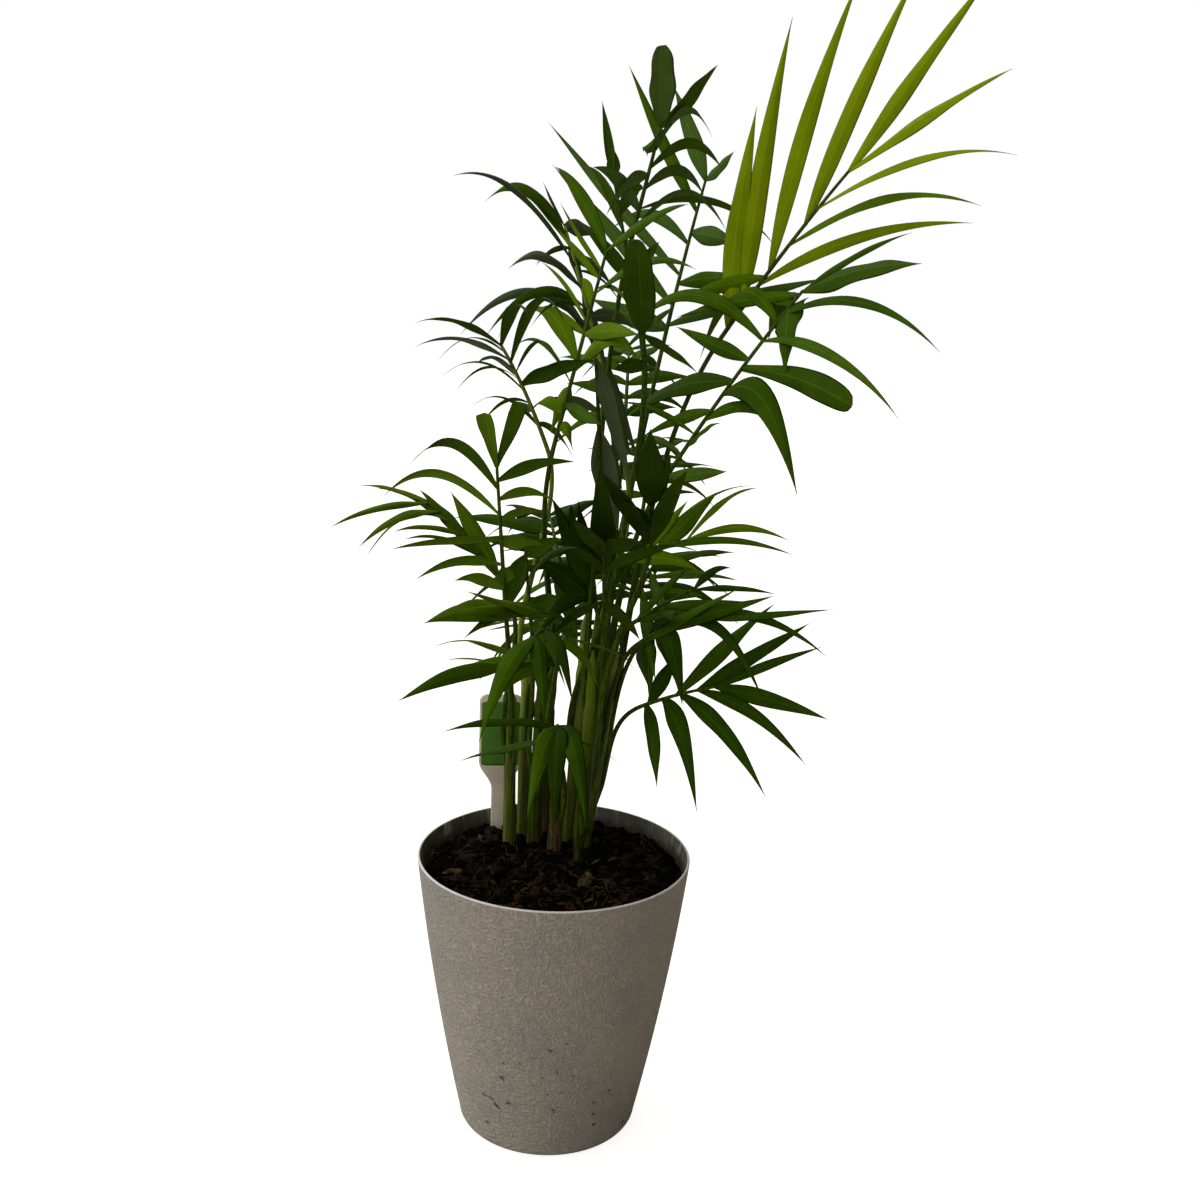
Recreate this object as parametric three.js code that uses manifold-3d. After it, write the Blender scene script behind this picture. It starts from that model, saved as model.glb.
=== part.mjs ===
// Parlour palm in a tapered plastic pot: a clump of slender canes that carry arching fronds.
// Millimetres, +Z up. The origin is the centre of the pot's flat underside.
// Every limb is a cylinder or cone whose rings are moved onto a curve.
import * as THREE from 'three';
import { mergeVertices } from 'three/addons/utils/BufferGeometryUtils.js';
import Module from 'manifold-3d';

const wasm = await Module();
wasm.setup();

// ---------------------------------------------------------------- driving sizes
const CLEAR = 0.35;            // gap between neighbouring pieces
const POT = {
  height: 147,
  footRadius: 45.7,            // where the side would meet the underside
  rimRadius: 70,
  belly: 2,                    // how far the side stands out of a straight taper
  footRound: 5,
  wall: 2.6,
  floor: 4,
};
const SOIL = {
  edge: 136.5,                 // height against the pot's wall
  mound: 5,                    // rise of the root ball round the canes
  x: -2,
  y: 26,
  spread: 32,
};
const LABEL = {
  x: -31, y: 49, turn: 4,      // where the blank plant label stands
  width: 23, head: 37, neck: 16, stake: 7, thick: 1.2, up: 76,
};
const STALK_SIDES = 4;
const CANE_SIDES = 6;
const SLIVER = 0.05;           // corners closer than this are made one where leaflets join
const THIN = 0.004;            // a triangle lower than this gives its long edge away

// Canes: foot on the soil, top, and radius at each end.
const CANES = {
  1: { foot: [-24, 26], top: [-24, 20, 227], radius: [3.3, 2.3] },
  2: { foot: [-17, 36], top: [-17, 32, 251], radius: [3.4, 2.3] },
  3: { foot: [-11, 24], top: [-9, 12, 236], radius: [3.4, 2.2] },
  4: { foot: [-5, 37], top: [-5, 34, 262], radius: [3.0, 2.3] },
  5: { foot: [0, 15], top: [0, 0, 205], radius: [3.3, 2.2] },
  6: { foot: [7, 27], top: [13, 18, 271], radius: [3.4, 2.5] },
  7: { foot: [12, 4], top: [16, -14, 259], radius: [3.8, 2.2] },
  8: { foot: [14.5, 19], top: [27.5, 6, 259], radius: [3.6, 2.8] },
  9: { foot: [15, 36], top: [23.5, 35, 186], radius: [2.2, 1.6] },
  10: { foot: [8, 42], top: [21, 46, 270], radius: [3.2, 2.3] },
  11: { foot: [12, 51], top: [24, 58, 262], radius: [3.0, 2.2] },
};

// Fronds. The bare stalk leaves a cane at height `leaves`, on the side that `side` degrees
// faces (0 is +X). The rib with the leaflets runs from `knee` to `tip` and stands `bow`
// above its chord. `roll` turns the blade about the rib, `lift` raises the leaflets from
// the blade's plane, `turn` twists them, `sweep` bends them forward.
// One leaflet is [length, angle from the rib in degrees, sag, width].
// `from` is where the first left and right leaflet sits along the rib, `crowd` bunches
// the leaflets towards the foot of the rib.
const FRONDS = [
  { name: 'frond_high_right', cane: 8, leaves: 235, side: 35, stout: 1.9,
    knee: [72, 0, 411], tip: [123, -20, 487], bow: 2, roll: 80, lift: 0,
    turn: [0, 50], sweep: [0.3, 0], from: [0.05, 0.3], crowd: [1.5, 1],
    left: [[90, 35, 0, 13], [118, 33, 0.1, 10.5], [133, 27, 0.6, 9.5], [113, 20, 0.3, 9.5],
      [90, 6, 0, 8.5]],
    right: [[78, 37, 0.2, 6], [105, 19, 0.9, 7], [105, 18, 0.8, 11], [86, 13, 0.3, 10]] },
  { name: 'frond_dark_right', cane: 8, leaves: 232, side: -120, stout: 2.1,
    knee: [45, -20, 342], tip: [101, -50, 434], bow: 3, roll: 45, lift: 12,
    from: [0.37, 0.05], crowd: [0.8, 1],
    left: [[51, 132, 0.3, 7], [81, 124, 0.5, 12], [60, 109, 0, 8], [143, 90, 1.4, 8],
      [88, 78, 2.3, 9], [32, 75, 3, 11], [62, -18, 0.4, 5]],
    right: [[81, 61, 0, 6.5], [31, 11, 0.9, 8], [81, 28, 1.5, 12], [63, 49, 1.7, 8],
      [127, 67, 0.2, 11], [132, 59, 0.6, 5.5], [121, 46, 0.8, 5], [93, 51, 0.2, 13]] },
  { name: 'frond_top_front', cane: 6, leaves: 245, side: -75, stout: 1.5,
    knee: [27, -20, 456], tip: [37, -30, 502], bow: 0, roll: 0, lift: 15,
    from: [0.05, 0.22], crowd: [1, 0.8],
    left: [[91, 50, 1.6, 4], [149, 79, 0.7, 4], [58, 50, 1.7, 7], [68, 55, 1.3, 6],
      [62, 29, 2.4, 5], [50, 52, 0.1, 11]],
    right: [[46, 46, 0.9, 7.5], [22, 88, 1.9, 7.5], [13, 42, 2.2, 11], [34, 18, 0.1, 12.5]] },
  { name: 'frond_top_back', cane: 10, leaves: 245, side: 20, stout: 1.6,
    knee: [48, 40, 410], tip: [66, 60, 486], bow: 2, roll: 0, lift: 15,
    from: [0.03, 0.05], crowd: [1.2, 1.2],
    left: [[47, 78, 0, 12], [109, 53, 0, 8], [121, 53, 0, 6.5], [81, 51, 1.6, 7],
      [96, 39, 0, 7], [60, 33, 0.1, 10]],
    right: [[97, 73, 0.1, 8.5], [50, 82, 0.3, 9], [37, 100, 0.1, 11], [22, 50, 0.1, 9]] },
  { name: 'frond_spear', cane: 10, leaves: 255, side: -70, stout: 1.7,
    knee: [33, 0, 413], tip: [18, 0, 482], bow: 0, roll: 85, lift: 0,
    from: [0.3, 0.3], crowd: [0.6, 1],
    left: [[29, 37, 0.7, 7], [31, 34, 2, 7], [14, 7, 0.1, 7]],
    right: [[43, 22, 0.7, 7.5], [49, 8, 1.3, 5], [34, -1, 0, 5]] },
  { name: 'frond_centre_high', cane: 7, leaves: 245, side: 10, stout: 1.6,
    knee: [33, -60, 400], tip: [31, -75, 414], bow: 0, roll: 0, lift: 0,
    left: [[27, 118, 0.6, 8]],
    right: [[14, 83, 0.6, 10], [59, 0, 0.1, 15]] },
  { name: 'frond_left_arch', cane: 2, leaves: 248, side: -175, stout: 1.6,
    knee: [-9, -10, 356], tip: [-30, -50, 406], bow: 3, roll: 0, lift: 10,
    from: [0.22, 0.18], crowd: [0.7, 1],
    left: [[19, 90, 1.9, 7], [54, 58, 0.5, 10.5], [130, 31, 1.2, 5], [85, 31, 1.1, 6]],
    right: [[57, 21, 1.6, 4], [14, 68, 1.2, 7.5], [61, 25, 1.6, 4], [36, 11, 1.4, 8.5],
      [51, 45, 1.1, 6], [49, 33, 1, 6]] },
  { name: 'frond_upper_left', cane: 6, leaves: 240, side: -5, stout: 2.4,
    knee: [29, 0, 346], tip: [-4, 30, 460], bow: 3, roll: 0, lift: 15,
    from: [0.45, 0.6], crowd: [1, 0.7],
    left: [[109, 26, 2.6, 7.5], [109, 56, 1.4, 7], [106, 75, 1, 6], [64, 48, 1.4, 9],
      [113, 36, 1.3, 5], [85, 29, 1.9, 10], [25, 23, 0.2, 5]],
    right: [[33, 81, 0.9, 8], [25, 90, 1.3, 6.5], [21, 91, 0.5, 9.5]] },
  { name: 'frond_upper_front', cane: 4, leaves: 245, side: -90, stout: 1.8,
    knee: [-5, -45, 365], tip: [15, -40, 448], bow: 0, roll: 20, lift: 15,
    from: [0.13, 0.05], crowd: [1, 1.2],
    left: [[32, 54, 1.7, 6.5], [14, 149, 2, 8.5], [68, 42, 1.5, 9.5], [49, 73, 0.4, 6],
      [23, 34, 1.1, 6], [37, 61, 0, 4], [72, 43, 0.8, 7.5]],
    right: [[19, 44, 2.9, 6], [50, 93, 0, 7.5], [70, 40, 1.6, 9.5], [62, 83, 0.1, 8.5],
      [95, 64, 0.6, 5], [77, 63, 0.4, 6]] },
  { name: 'frond_left_fishtail', cane: 1, leaves: 210, side: -90, stout: 1.6,
    knee: [-27, -35, 292], tip: [-31, -50, 354], bow: 0, roll: 0, lift: 8,
    from: [0.08, 0.02], crowd: [0.7, 1],
    left: [[18, 20, 2, 9.5], [22, 68, 0.7, 9.5], [28, 55, 0.9, 5], [32, 59, 1.1, 5.5],
      [43, 59, 0.6, 6.5], [31, 28, 0.2, 9]],
    right: [[29, 60, 1, 7.5], [46, 84, 0.8, 5.5], [59, 94, 0.3, 5], [60, 69, 0.5, 9],
      [75, 32, 2.1, 6.5], [23, 7, 0.5, 7.5]] },
  { name: 'frond_left_far', cane: 1, leaves: 205, side: -165, stout: 1.5,
    knee: [-30, 0, 289], tip: [-67, 10, 325], bow: 3, roll: -8, lift: 10,
    from: [0.2, 0.05], crowd: [0.7, 1.3],
    left: [[59, 35, 0.9, 5], [52, 54, 0.6, 4], [53, 26, 2.1, 7], [66, 71, 0.7, 6],
      [79, 73, 0.4, 5]],
    right: [[53, 14, 0.2, 12], [51, 3, 0.4, 11], [58, 0, 0.9, 7.5], [40, -12, 0.6, 5]] },
  { name: 'frond_left_middle', cane: 2, leaves: 215, side: -80, stout: 1.5,
    knee: [-2, -40, 282], tip: [-18, -80, 293], bow: 1, roll: -45, lift: 0,
    from: [0.08, 0.05], crowd: [1, 1.1],
    left: [[103, 1, 0, 9.5], [64, -12, 0.3, 11]],
    right: [[98, 2, 0.5, 8.5], [93, 8, 0.4, 11], [76, 10, 0.3, 12]] },
  { name: 'frond_left_low', cane: 3, leaves: 224, side: -90, stout: 1.5,
    knee: [-5, -20, 253], tip: [-25, -55, 261], bow: 1, roll: -20, lift: 0,
    from: [0.05, 0.08],
    left: [[56, 2, 0.8, 8.5], [65, -8, 0.4, 10]],
    right: [[47, 37, 0.2, 7.5], [68, 97, 0.8, 6], [30, 64, 0.6, 3]] },
  { name: 'frond_front_left', cane: 3, leaves: 190, side: -60, stout: 1.5,
    knee: [-2, -45, 271], tip: [-11, -105, 289], bow: 4, roll: 0, lift: 5,
    from: [0.13, 0.13], crowd: [0.9, 1],
    left: [[40, 105, 0.6, 5], [46, 25, 1.4, 11], [39, 17, 1.5, 9.5]],
    right: [[37, 129, 1.7, 9.5], [61, 10, 1, 13.5]] },
  { name: 'frond_front_low', cane: 5, leaves: 175, side: -30, stout: 1.5,
    knee: [0, -50, 227], tip: [2, -100, 253], bow: 4, roll: 0, lift: 5,
    from: [0.2, 0.13],
    left: [[40, 127, 0.5, 5], [82, 8, 1.3, 11], [44, -2, 1.8, 11]],
    right: [[55, 122, 0.3, 11], [67, 47, 0.4, 8.5], [43, 17, 1.6, 13.5]] },
  { name: 'frond_right_fan', cane: 9, leaves: 174, side: -15, stout: 1.3,
    knee: [42, 0, 227], tip: [76, -20, 244], bow: 1, roll: 60, lift: 0,
    from: [0.09, 0.05], crowd: [0.8, 1],
    left: [[31, 47, 0.1, 9.5], [76, 36, 0.4, 10], [67, 19, 0, 8], [59, 14, 0.1, 5]],
    right: [[37, 85, 0.6, 9], [30, 49, 2.4, 9], [61, 39, 0.8, 6.5], [65, 23, 0.7, 5],
      [63, 17, 0.2, 7.5]] },
  { name: 'frond_right_middle', cane: 8, leaves: 215, side: -75, stout: 1.3,
    knee: [37, -10, 261], tip: [59, -30, 281], bow: 1, roll: 55, lift: 0,
    from: [0.04, 0.2], crowd: [1.3, 0.9],
    left: [[74, -7, 0, 7.5], [81, -13, 0, 7.5], [95, -17, 0, 5]],
    right: [[19, 77, 2.1, 9.5], [22, 33, 3.1, 11], [65, 7, 1.8, 6], [90, 8, 0.8, 6]] },
  { name: 'frond_right_upper', cane: 8, leaves: 241, side: 170, stout: 1.5,
    knee: [32, -20, 305], tip: [57, -35, 319], bow: 1, roll: 60, lift: 0,
    from: [0.08, 0.05], crowd: [1.2, 0.9],
    left: [[39, 25, 0, 8.5], [40, 27, 0.1, 11], [59, 46, 1.1, 5]],
    right: [[40, 15, 0.6, 8.5], [73, 7, 0.5, 4], [56, -10, 0.8, 5]] },
  { name: 'frond_right_inner', cane: 8, leaves: 195, side: -100, stout: 1.4,
    knee: [36, -10, 273], tip: [64, -10, 290], bow: 1, roll: 40, lift: 0,
    from: [0.02, 0.02], crowd: [1, 1.2],
    left: [[52, 24, 0.6, 6], [35, 35, 1.1, 5]],
    right: [[43, 14, 0.7, 7.5], [48, 32, 0, 6], [42, 18, 0.4, 4]] },
  { name: 'frond_centre_front', cane: 7, leaves: 225, side: -20, stout: 1.7,
    knee: [39, -60, 321], tip: [36, -95, 345], bow: 0, roll: 0, lift: 0,
    left: [[106, 8, 0.3, 9], [51, 9, 0.1, 9]],
    right: [[102, 11, 0.3, 10], [36, 19, 0.3, 11], [73, 0, 0.1, 13]] },
  { name: 'frond_centre_near', cane: 6, leaves: 210, side: -150, stout: 1.6,
    knee: [20, -35, 287], tip: [17, -80, 320], bow: 3, roll: 0, lift: 0,
    left: [[23, 130, 1, 9], [96, 25, 0.6, 11], [88, 12, 0.4, 12]],
    right: [[32, 107, 1, 8], [104, 15, 1, 10], [108, 4, 0.3, 11]] },
  { name: 'frond_centre_hanging', cane: 7, leaves: 240, side: 170, stout: 1.3,
    knee: [15, -20, 366], tip: [12, -38, 401], bow: 0, roll: 0, lift: 0,
    from: [0.02, 0.05],
    left: [[56, 172, 0.2, 14], [55, 164, 0.8, 9]],
    right: [] },
  { name: 'frond_centre_broad', cane: 6, leaves: 230, side: -30, stout: 1.3,
    knee: [18, -9, 272], tip: [15, -6, 295], bow: 0, roll: 0, lift: 0,
    from: [0.4, 0.1],
    left: [[49, 42, 0.6, 13], [55, 24, 0.2, 15], [39, 8, 0.1, 12]],
    right: [[47, 46, 0.8, 12]] },
  { name: 'frond_right_low', cane: 8, leaves: 184, side: 15, stout: 1.3,
    knee: [38, 2, 256], tip: [47, -8, 269], bow: 1, roll: 0, lift: 0,
    from: [0.3, 0.3],
    left: [[41, 136, 0.9, 12], [79, 126, 0.9, 12]],
    right: [[37, -10, 0.5, 11], [83, 34, 0.6, 12]] },
  { name: 'frond_left_inner', cane: 3, leaves: 200, side: -180, stout: 1.3,
    knee: [-14, -2, 260], tip: [-18, -14, 305], bow: 0, roll: 0, lift: 0,
    from: [0.3, 0.3],
    left: [[28, 38, 0.8, 12], [26, 50, 0.3, 10]],
    right: [[32, 68, 0.6, 11], [30, 152, 0.9, 11]] },
  { name: 'frond_inner_left', cane: 4, leaves: 215, side: -175, stout: 1.4,
    knee: [-2, 20, 292], tip: [-8, 62, 312], bow: 3, roll: 0, lift: 5,
    pairs: [4, 55, 75, 25, 0.8, 12] },
  { name: 'frond_inner_right', cane: 11, leaves: 225, side: -60, stout: 1.4,
    knee: [38, 30, 275], tip: [54, 72, 290], bow: 3, roll: 0, lift: 5,
    pairs: [4, 55, 75, 25, 0.8, 12] },
  { name: 'frond_back_middle', cane: 4, leaves: 225, side: 60, stout: 1.5,
    knee: [14, 80, 273], tip: [16, 150, 283], bow: 5, roll: 0, lift: 5,
    pairs: [5, 60, 75, 22, 0.9, 12] },
  { name: 'frond_back_right', cane: 11, leaves: 235, side: 20, stout: 1.5,
    knee: [42, 60, 322], tip: [50, 125, 347], bow: 5, roll: 0, lift: 5,
    pairs: [4, 45, 72, 22, 0.9, 12] },
  { name: 'frond_back_low', cane: 2, leaves: 195, side: 80, stout: 1.4,
    knee: [2, 75, 241], tip: [-6, 140, 235], bow: 5, roll: 0, lift: 5,
    pairs: [4, 55, 72, 22, 0.9, 12] },
  { name: 'frond_back_high', cane: 11, leaves: 259, side: 110, stout: 1.5,
    knee: [30, 55, 365], tip: [33, 110, 398], bow: 5, roll: 0, lift: 5,
    pairs: [4, 45, 70, 22, 0.9, 12] },
];

// ---------------------------------------------------------------- colours
const paint = (colour, roughness) =>
  new THREE.MeshStandardMaterial({ color: colour, roughness, metalness: 0 });
const POT_GREY = paint(0xa9a59c, 0.75);
const SOIL_BROWN = paint(0x2c231d, 0.95);
const LABEL_WHITE = paint(0xd9d6cf, 0.5);
const CANE_GREEN = paint(0x66763a, 0.6);
const LEAF_GREEN = paint(0x466528, 0.55);
const LEAF_LIGHT = paint(0x8a9a1f, 0.5);

// ---------------------------------------------------------------- helpers
const V = (a) => new THREE.Vector3(...a);
const UP = V([0, 0, 1]);
const rad = THREE.MathUtils.degToRad;

// A closed solid from a closed geometry: corners merged, collapsed triangles dropped.
function toSolid(geometry) {
  const g = geometry.clone();
  g.deleteAttribute('normal');
  g.deleteAttribute('uv');
  const m = mergeVertices(g, 1e-4);
  const index = [...m.index.array];
  const kept = [];
  for (let i = 0; i < index.length; i += 3) {
    const [a, b, c] = index.slice(i, i + 3);
    if (a !== b && b !== c && c !== a) {
      kept.push(a, b, c);
    }
  }
  const mesh = new wasm.Mesh({
    numProp: 3,
    vertProperties: Float32Array.from(m.attributes.position.array),
    triVerts: Uint32Array.from(kept),
  });
  return new wasm.Manifold(mesh);
}

// The solid's triangles as a geometry.
function toGeometry(solid) {
  const mesh = solid.getMesh();
  const g = new THREE.BufferGeometry();
  g.setAttribute('position', new THREE.Float32BufferAttribute(mesh.vertProperties, 3));
  g.setIndex([...mesh.triVerts]);
  g.computeVertexNormals();
  return g;
}

// Whether each edge of a triangle list is used once each way.
function isClosed(triangles) {
  const seen = new Set();
  for (let i = 0; i < triangles.length; i += 3) {
    const [a, b, c] = triangles.slice(i, i + 3);
    seen.add(`${a} ${b}`).add(`${b} ${c}`).add(`${c} ${a}`);
  }
  const paired = [...seen].every((edge) => seen.has(edge.split(' ').reverse().join(' ')));
  return seen.size === triangles.length && paired;
}

// Turns the long edge of each triangle that is lower than THIN, so that no corner lies on an edge.
function turnThinEdges(xyz, triangles) {
  const corner = (i) => V([xyz[3 * i], xyz[3 * i + 1], xyz[3 * i + 2]]);
  const owner = new Map();
  const list = (t) => {
    for (let k = 0; k < 3; k += 1) {
      owner.set(`${triangles[3 * t + k]} ${triangles[3 * t + (k + 1) % 3]}`, t);
    }
  };
  const write = (t, corners) => {
    corners.forEach((v, k) => {
      triangles[3 * t + k] = v;
    });
    list(t);
  };
  const count = triangles.length / 3;
  for (let t = 0; t < count; t += 1) {
    list(t);
  }
  for (let t = 0; t < 3 * count; t += 1) {
    const tri = triangles.slice(3 * (t % count), 3 * (t % count) + 3);
    const far = [0, 1, 2].map((k) => corner(tri[k]).distanceTo(corner(tri[(k + 1) % 3])));
    const k = far.indexOf(Math.max(...far));
    const [a, b, c] = [tri[k], tri[(k + 1) % 3], tri[(k + 2) % 3]];
    const twice = corner(b).sub(corner(a)).cross(corner(c).sub(corner(a))).length();
    const other = owner.get(`${b} ${a}`);
    const d = triangles.slice(3 * other, 3 * other + 3).find((v) => v !== a && v !== b);
    if (twice / far[k] < THIN && !owner.has(`${c} ${d}`) && !owner.has(`${d} ${c}`)) {
      owner.delete(`${a} ${b}`);
      owner.delete(`${b} ${a}`);
      write(t % count, [c, a, d]);
      write(other, [b, c, d]);
    }
  }
}

// The same solid with corners that are closer than `least` made one.
function withoutSlivers(solid, least) {
  const { vertProperties: xyz, triVerts } = solid.getMesh();
  const home = Array.from({ length: xyz.length / 3 }, (_, i) => i);
  const settle = (i) => (home[i] === i ? i : settle(home[i]));
  const gap = (a, b) => Math.hypot(...[0, 1, 2].map((k) => xyz[3 * a + k] - xyz[3 * b + k]));
  for (let i = 0; i < triVerts.length; i += 3) {
    for (const [a, b] of [[0, 1], [1, 2], [2, 0]]) {
      const from = settle(triVerts[i + a]);
      const to = settle(triVerts[i + b]);
      if (from !== to && gap(from, to) < least) {
        home[from] = to;
      }
    }
  }
  const kept = [];
  for (let i = 0; i < triVerts.length; i += 3) {
    const [a, b, c] = [...triVerts.slice(i, i + 3)].map(settle);
    if (a !== b && b !== c && c !== a) {
      kept.push(a, b, c);
    }
  }
  if (!isClosed(kept)) {
    return withoutSlivers(solid, least / 2);
  }
  turnThinEdges(xyz, kept);
  const mesh = new wasm.Mesh({ numProp: 3, vertProperties: xyz, triVerts: Uint32Array.from(kept) });
  return new wasm.Manifold(mesh);
}

const touches = (a, b) => a.intersect(b).getMesh().triVerts.length > 0;

// A round limb: a cylinder whose rings are moved onto place(u) with radius(u).
function limb(place, radius, sides, rings) {
  const g = new THREE.CylinderGeometry(1, 1, 1, sides, rings);
  const p = g.attributes.position;
  const step = 1e-3;
  for (let i = 0; i < p.count; i += 1) {
    const u = p.getY(i) + 0.5;
    const ahead = place(Math.min(u + step, 1));
    const along = ahead.sub(place(Math.max(u - step, 0))).normalize();
    const sideways = new THREE.Vector3().crossVectors(along, V([0.3, 1, 0.1])).normalize();
    const across = new THREE.Vector3().crossVectors(along, sideways);
    const at = place(u);
    at.addScaledVector(sideways, p.getX(i) * radius(u));
    at.addScaledVector(across, -p.getZ(i) * radius(u));
    p.setXYZ(i, at.x, at.y, at.z);
  }
  return g;
}

// ---------------------------------------------------------------- pot, soil, label
// Outer radius of the pot at a height.
function potRadius(z) {
  const t = THREE.MathUtils.clamp(z / POT.height, 0, 1);
  const straight = POT.footRadius + (POT.rimRadius - POT.footRadius) * t;
  return straight + POT.belly * 4 * t * (1 - t);
}

// The pot: a lathe profile out along the underside, up the side, over the rim, down inside.
function potGeometry() {
  const { height: H, wall, floor, footRound: f } = POT;
  const outline = [[0, 0], [potRadius(f) - f, 0], [potRadius(f) - 0.3 * f, 0.3 * f]];
  for (const t of [f / H, 0.25, 0.5, 0.75, 0.985]) {
    outline.push([potRadius(t * H), t * H]);
  }
  outline.push([potRadius(H) - 0.7, H], [potRadius(H) - wall + 0.5, H]);
  for (const t of [0.985, 0.75, 0.5, 0.25]) {
    outline.push([potRadius(t * H) - wall, t * H]);
  }
  outline.push([potRadius(floor) - wall - 3, floor], [0, floor]);
  const g = new THREE.LatheGeometry(outline.map(([r, z]) => new THREE.Vector2(r, z)), 40);
  return g.rotateX(Math.PI / 2);
}

// Height of the soil: level at the wall, a low mound round the canes.
function soilHeight(x, y) {
  const near = (x - SOIL.x) ** 2 + (y - SOIL.y) ** 2;
  return SOIL.edge + SOIL.mound * Math.exp(-near / (2 * SOIL.spread ** 2));
}

// The soil fills the pot from its floor, a gap off the wall.
function soilGeometry() {
  const inner = (z) => potRadius(z) - POT.wall - CLEAR - 0.25;
  const bottom = POT.floor + CLEAR;
  const outline = [[0, bottom], [inner(bottom) - 3, bottom]];
  for (const t of [0.25, 0.5, 0.75]) {
    outline.push([inner(t * POT.height), t * POT.height]);
  }
  const brim = outline.length;
  for (const r of [inner(SOIL.edge), 48, 30, 0]) {
    outline.push([r, SOIL.edge]);
  }
  const g = new THREE.LatheGeometry(outline.map(([r, z]) => new THREE.Vector2(r, z)), 32);
  g.rotateX(Math.PI / 2);
  const p = g.attributes.position;
  for (let i = 0; i < p.count; i += 1) {
    if (i % outline.length >= brim) {
      p.setZ(i, soilHeight(p.getX(i), p.getY(i)));
    }
  }
  return g;
}

// The label: a rounded head that narrows to a stake, standing on the soil.
function labelGeometry() {
  const { width, head, neck, stake, thick, up } = LABEL;
  const s = new THREE.Shape();
  s.moveTo(-stake / 2, 0);
  s.lineTo(stake / 2, 0);
  s.lineTo(stake / 2, up - head - neck);
  s.quadraticCurveTo(stake / 2, up - head - 6, width / 2, up - head + 2);
  s.lineTo(width / 2, up - 4);
  s.quadraticCurveTo(width / 2, up, width / 2 - 4, up);
  s.lineTo(-width / 2 + 4, up);
  s.quadraticCurveTo(-width / 2, up, -width / 2, up - 4);
  s.lineTo(-width / 2, up - head + 2);
  s.quadraticCurveTo(-stake / 2, up - head - 6, -stake / 2, up - head - neck);
  s.closePath();
  const g = new THREE.ExtrudeGeometry(s, { depth: thick, bevelEnabled: false, curveSegments: 4 });
  return g.rotateX(Math.PI / 2);
}

// ---------------------------------------------------------------- canes
// Point on a cane's axis: u is 0 at the soil and 1 at the top, with a slight outward bend.
function caneCurve(c) {
  const [x, y] = c.foot;
  const foot = V([x, y, soilHeight(x, y) + CLEAR + 0.2]);
  const top = V(c.top);
  const bend = new THREE.Vector3(x, y, 0).setLength(2.5);
  return (u) => foot.clone().lerp(top, u).addScaledVector(bend, 4 * u * (1 - u) * 0.4);
}

const caneRadius = (c) => (u) => c.radius[0] + (c.radius[1] - c.radius[0]) * u;

function caneGeometry(c) {
  const g = limb(caneCurve(c), caneRadius(c), CANE_SIDES, 4);
  const p = g.attributes.position;
  const footZ = caneCurve(c)(0).z;
  for (let i = 0; i < p.count; i += 1) {
    if (p.getZ(i) < footZ + 0.8) {
      p.setZ(i, footZ);
    }
  }
  return g;
}

// ---------------------------------------------------------------- fronds
// Point on the rib: a bow from knee to tip.
function ribPoint(f, s) {
  const a = V(f.knee);
  const c = V(f.tip);
  const b = a.clone().lerp(c, 0.5).addScaledVector(UP, 2 * f.bow);
  const p = a.multiplyScalar((1 - s) ** 2);
  p.addScaledVector(b, 2 * s * (1 - s));
  return p.addScaledVector(c, s * s);
}

// Direction of the rib towards its tip.
function ribDirection(f, s) {
  const a = V(f.knee);
  const c = V(f.tip);
  const b = a.clone().lerp(c, 0.5).addScaledVector(UP, 2 * f.bow);
  const d = b.clone().sub(a).multiplyScalar(1 - s);
  return d.addScaledVector(c.sub(b), s).normalize();
}

// Where the stalk starts: beside its cane, a gap clear of the cane's skin.
function stalkStart(f) {
  const c = CANES[f.cane];
  const curve = caneCurve(c);
  const u = (f.leaves - curve(0).z) / (curve(1).z - curve(0).z);
  const off = caneRadius(c)(u) + f.stout + CLEAR + 0.1;
  const angle = rad(f.side);
  const start = curve(u).add(V([Math.cos(angle) * off, Math.sin(angle) * off, 0]));
  return { start, along: curve(1).sub(curve(0)).normalize() };
}

// The stalk and the rib are one curve: v runs 0 to 1 up the bare stalk, 1 to 2 along the rib.
function frondCurve(f) {
  const { start, along } = stalkStart(f);
  const knee = V(f.knee);
  const reach = knee.distanceTo(start) * 0.9;
  const arrive = ribDirection(f, 0);
  return (v) => {
    if (v > 1) {
      return ribPoint(f, v - 1);
    }
    const v2 = v * v;
    const v3 = v2 * v;
    const p = start.clone().multiplyScalar(2 * v3 - 3 * v2 + 1);
    p.addScaledVector(along, reach * (v3 - 2 * v2 + v));
    p.addScaledVector(knee, 3 * v2 - 2 * v3);
    return p.addScaledVector(arrive, reach * (v3 - v2));
  };
}

function frondStalk(f) {
  const curve = frondCurve(f);
  const at = (u) => (u < 0.625 ? u / 0.625 : 1 + (u - 0.625) / 0.375);
  const radius = (u) => (u < 0.625 ? f.stout - (f.stout - 1.1) * at(u) : 1.1 - 0.4 * (at(u) - 1));
  return limb((u) => curve(at(u)), radius, STALK_SIDES, 8);
}

// Leaflet rows of one side; `pairs` is [count, length, first angle, last angle, sag, width].
function leafRows(f, hand) {
  if (!f.pairs) {
    return f[hand];
  }
  const [count, length, first, last, sag, width] = f.pairs;
  return Array.from({ length: count }, (_, i) => [
    length * (0.72 + 0.28 * Math.sin(Math.PI * (i + 0.5) / count)),
    first + (last - first) * i / (count - 1), sag, width]);
}

// Share of the leaflet's full width at u: narrow root, widest before the middle, pointed tip.
function leafShare(u) {
  return u < 0.45
    ? 0.22 + 0.78 * Math.sin(Math.PI / 2 * u / 0.45) ** 0.9
    : Math.max(Math.cos(Math.PI / 2 * (u - 0.45) / 0.55), 0) ** 0.85;
}

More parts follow.
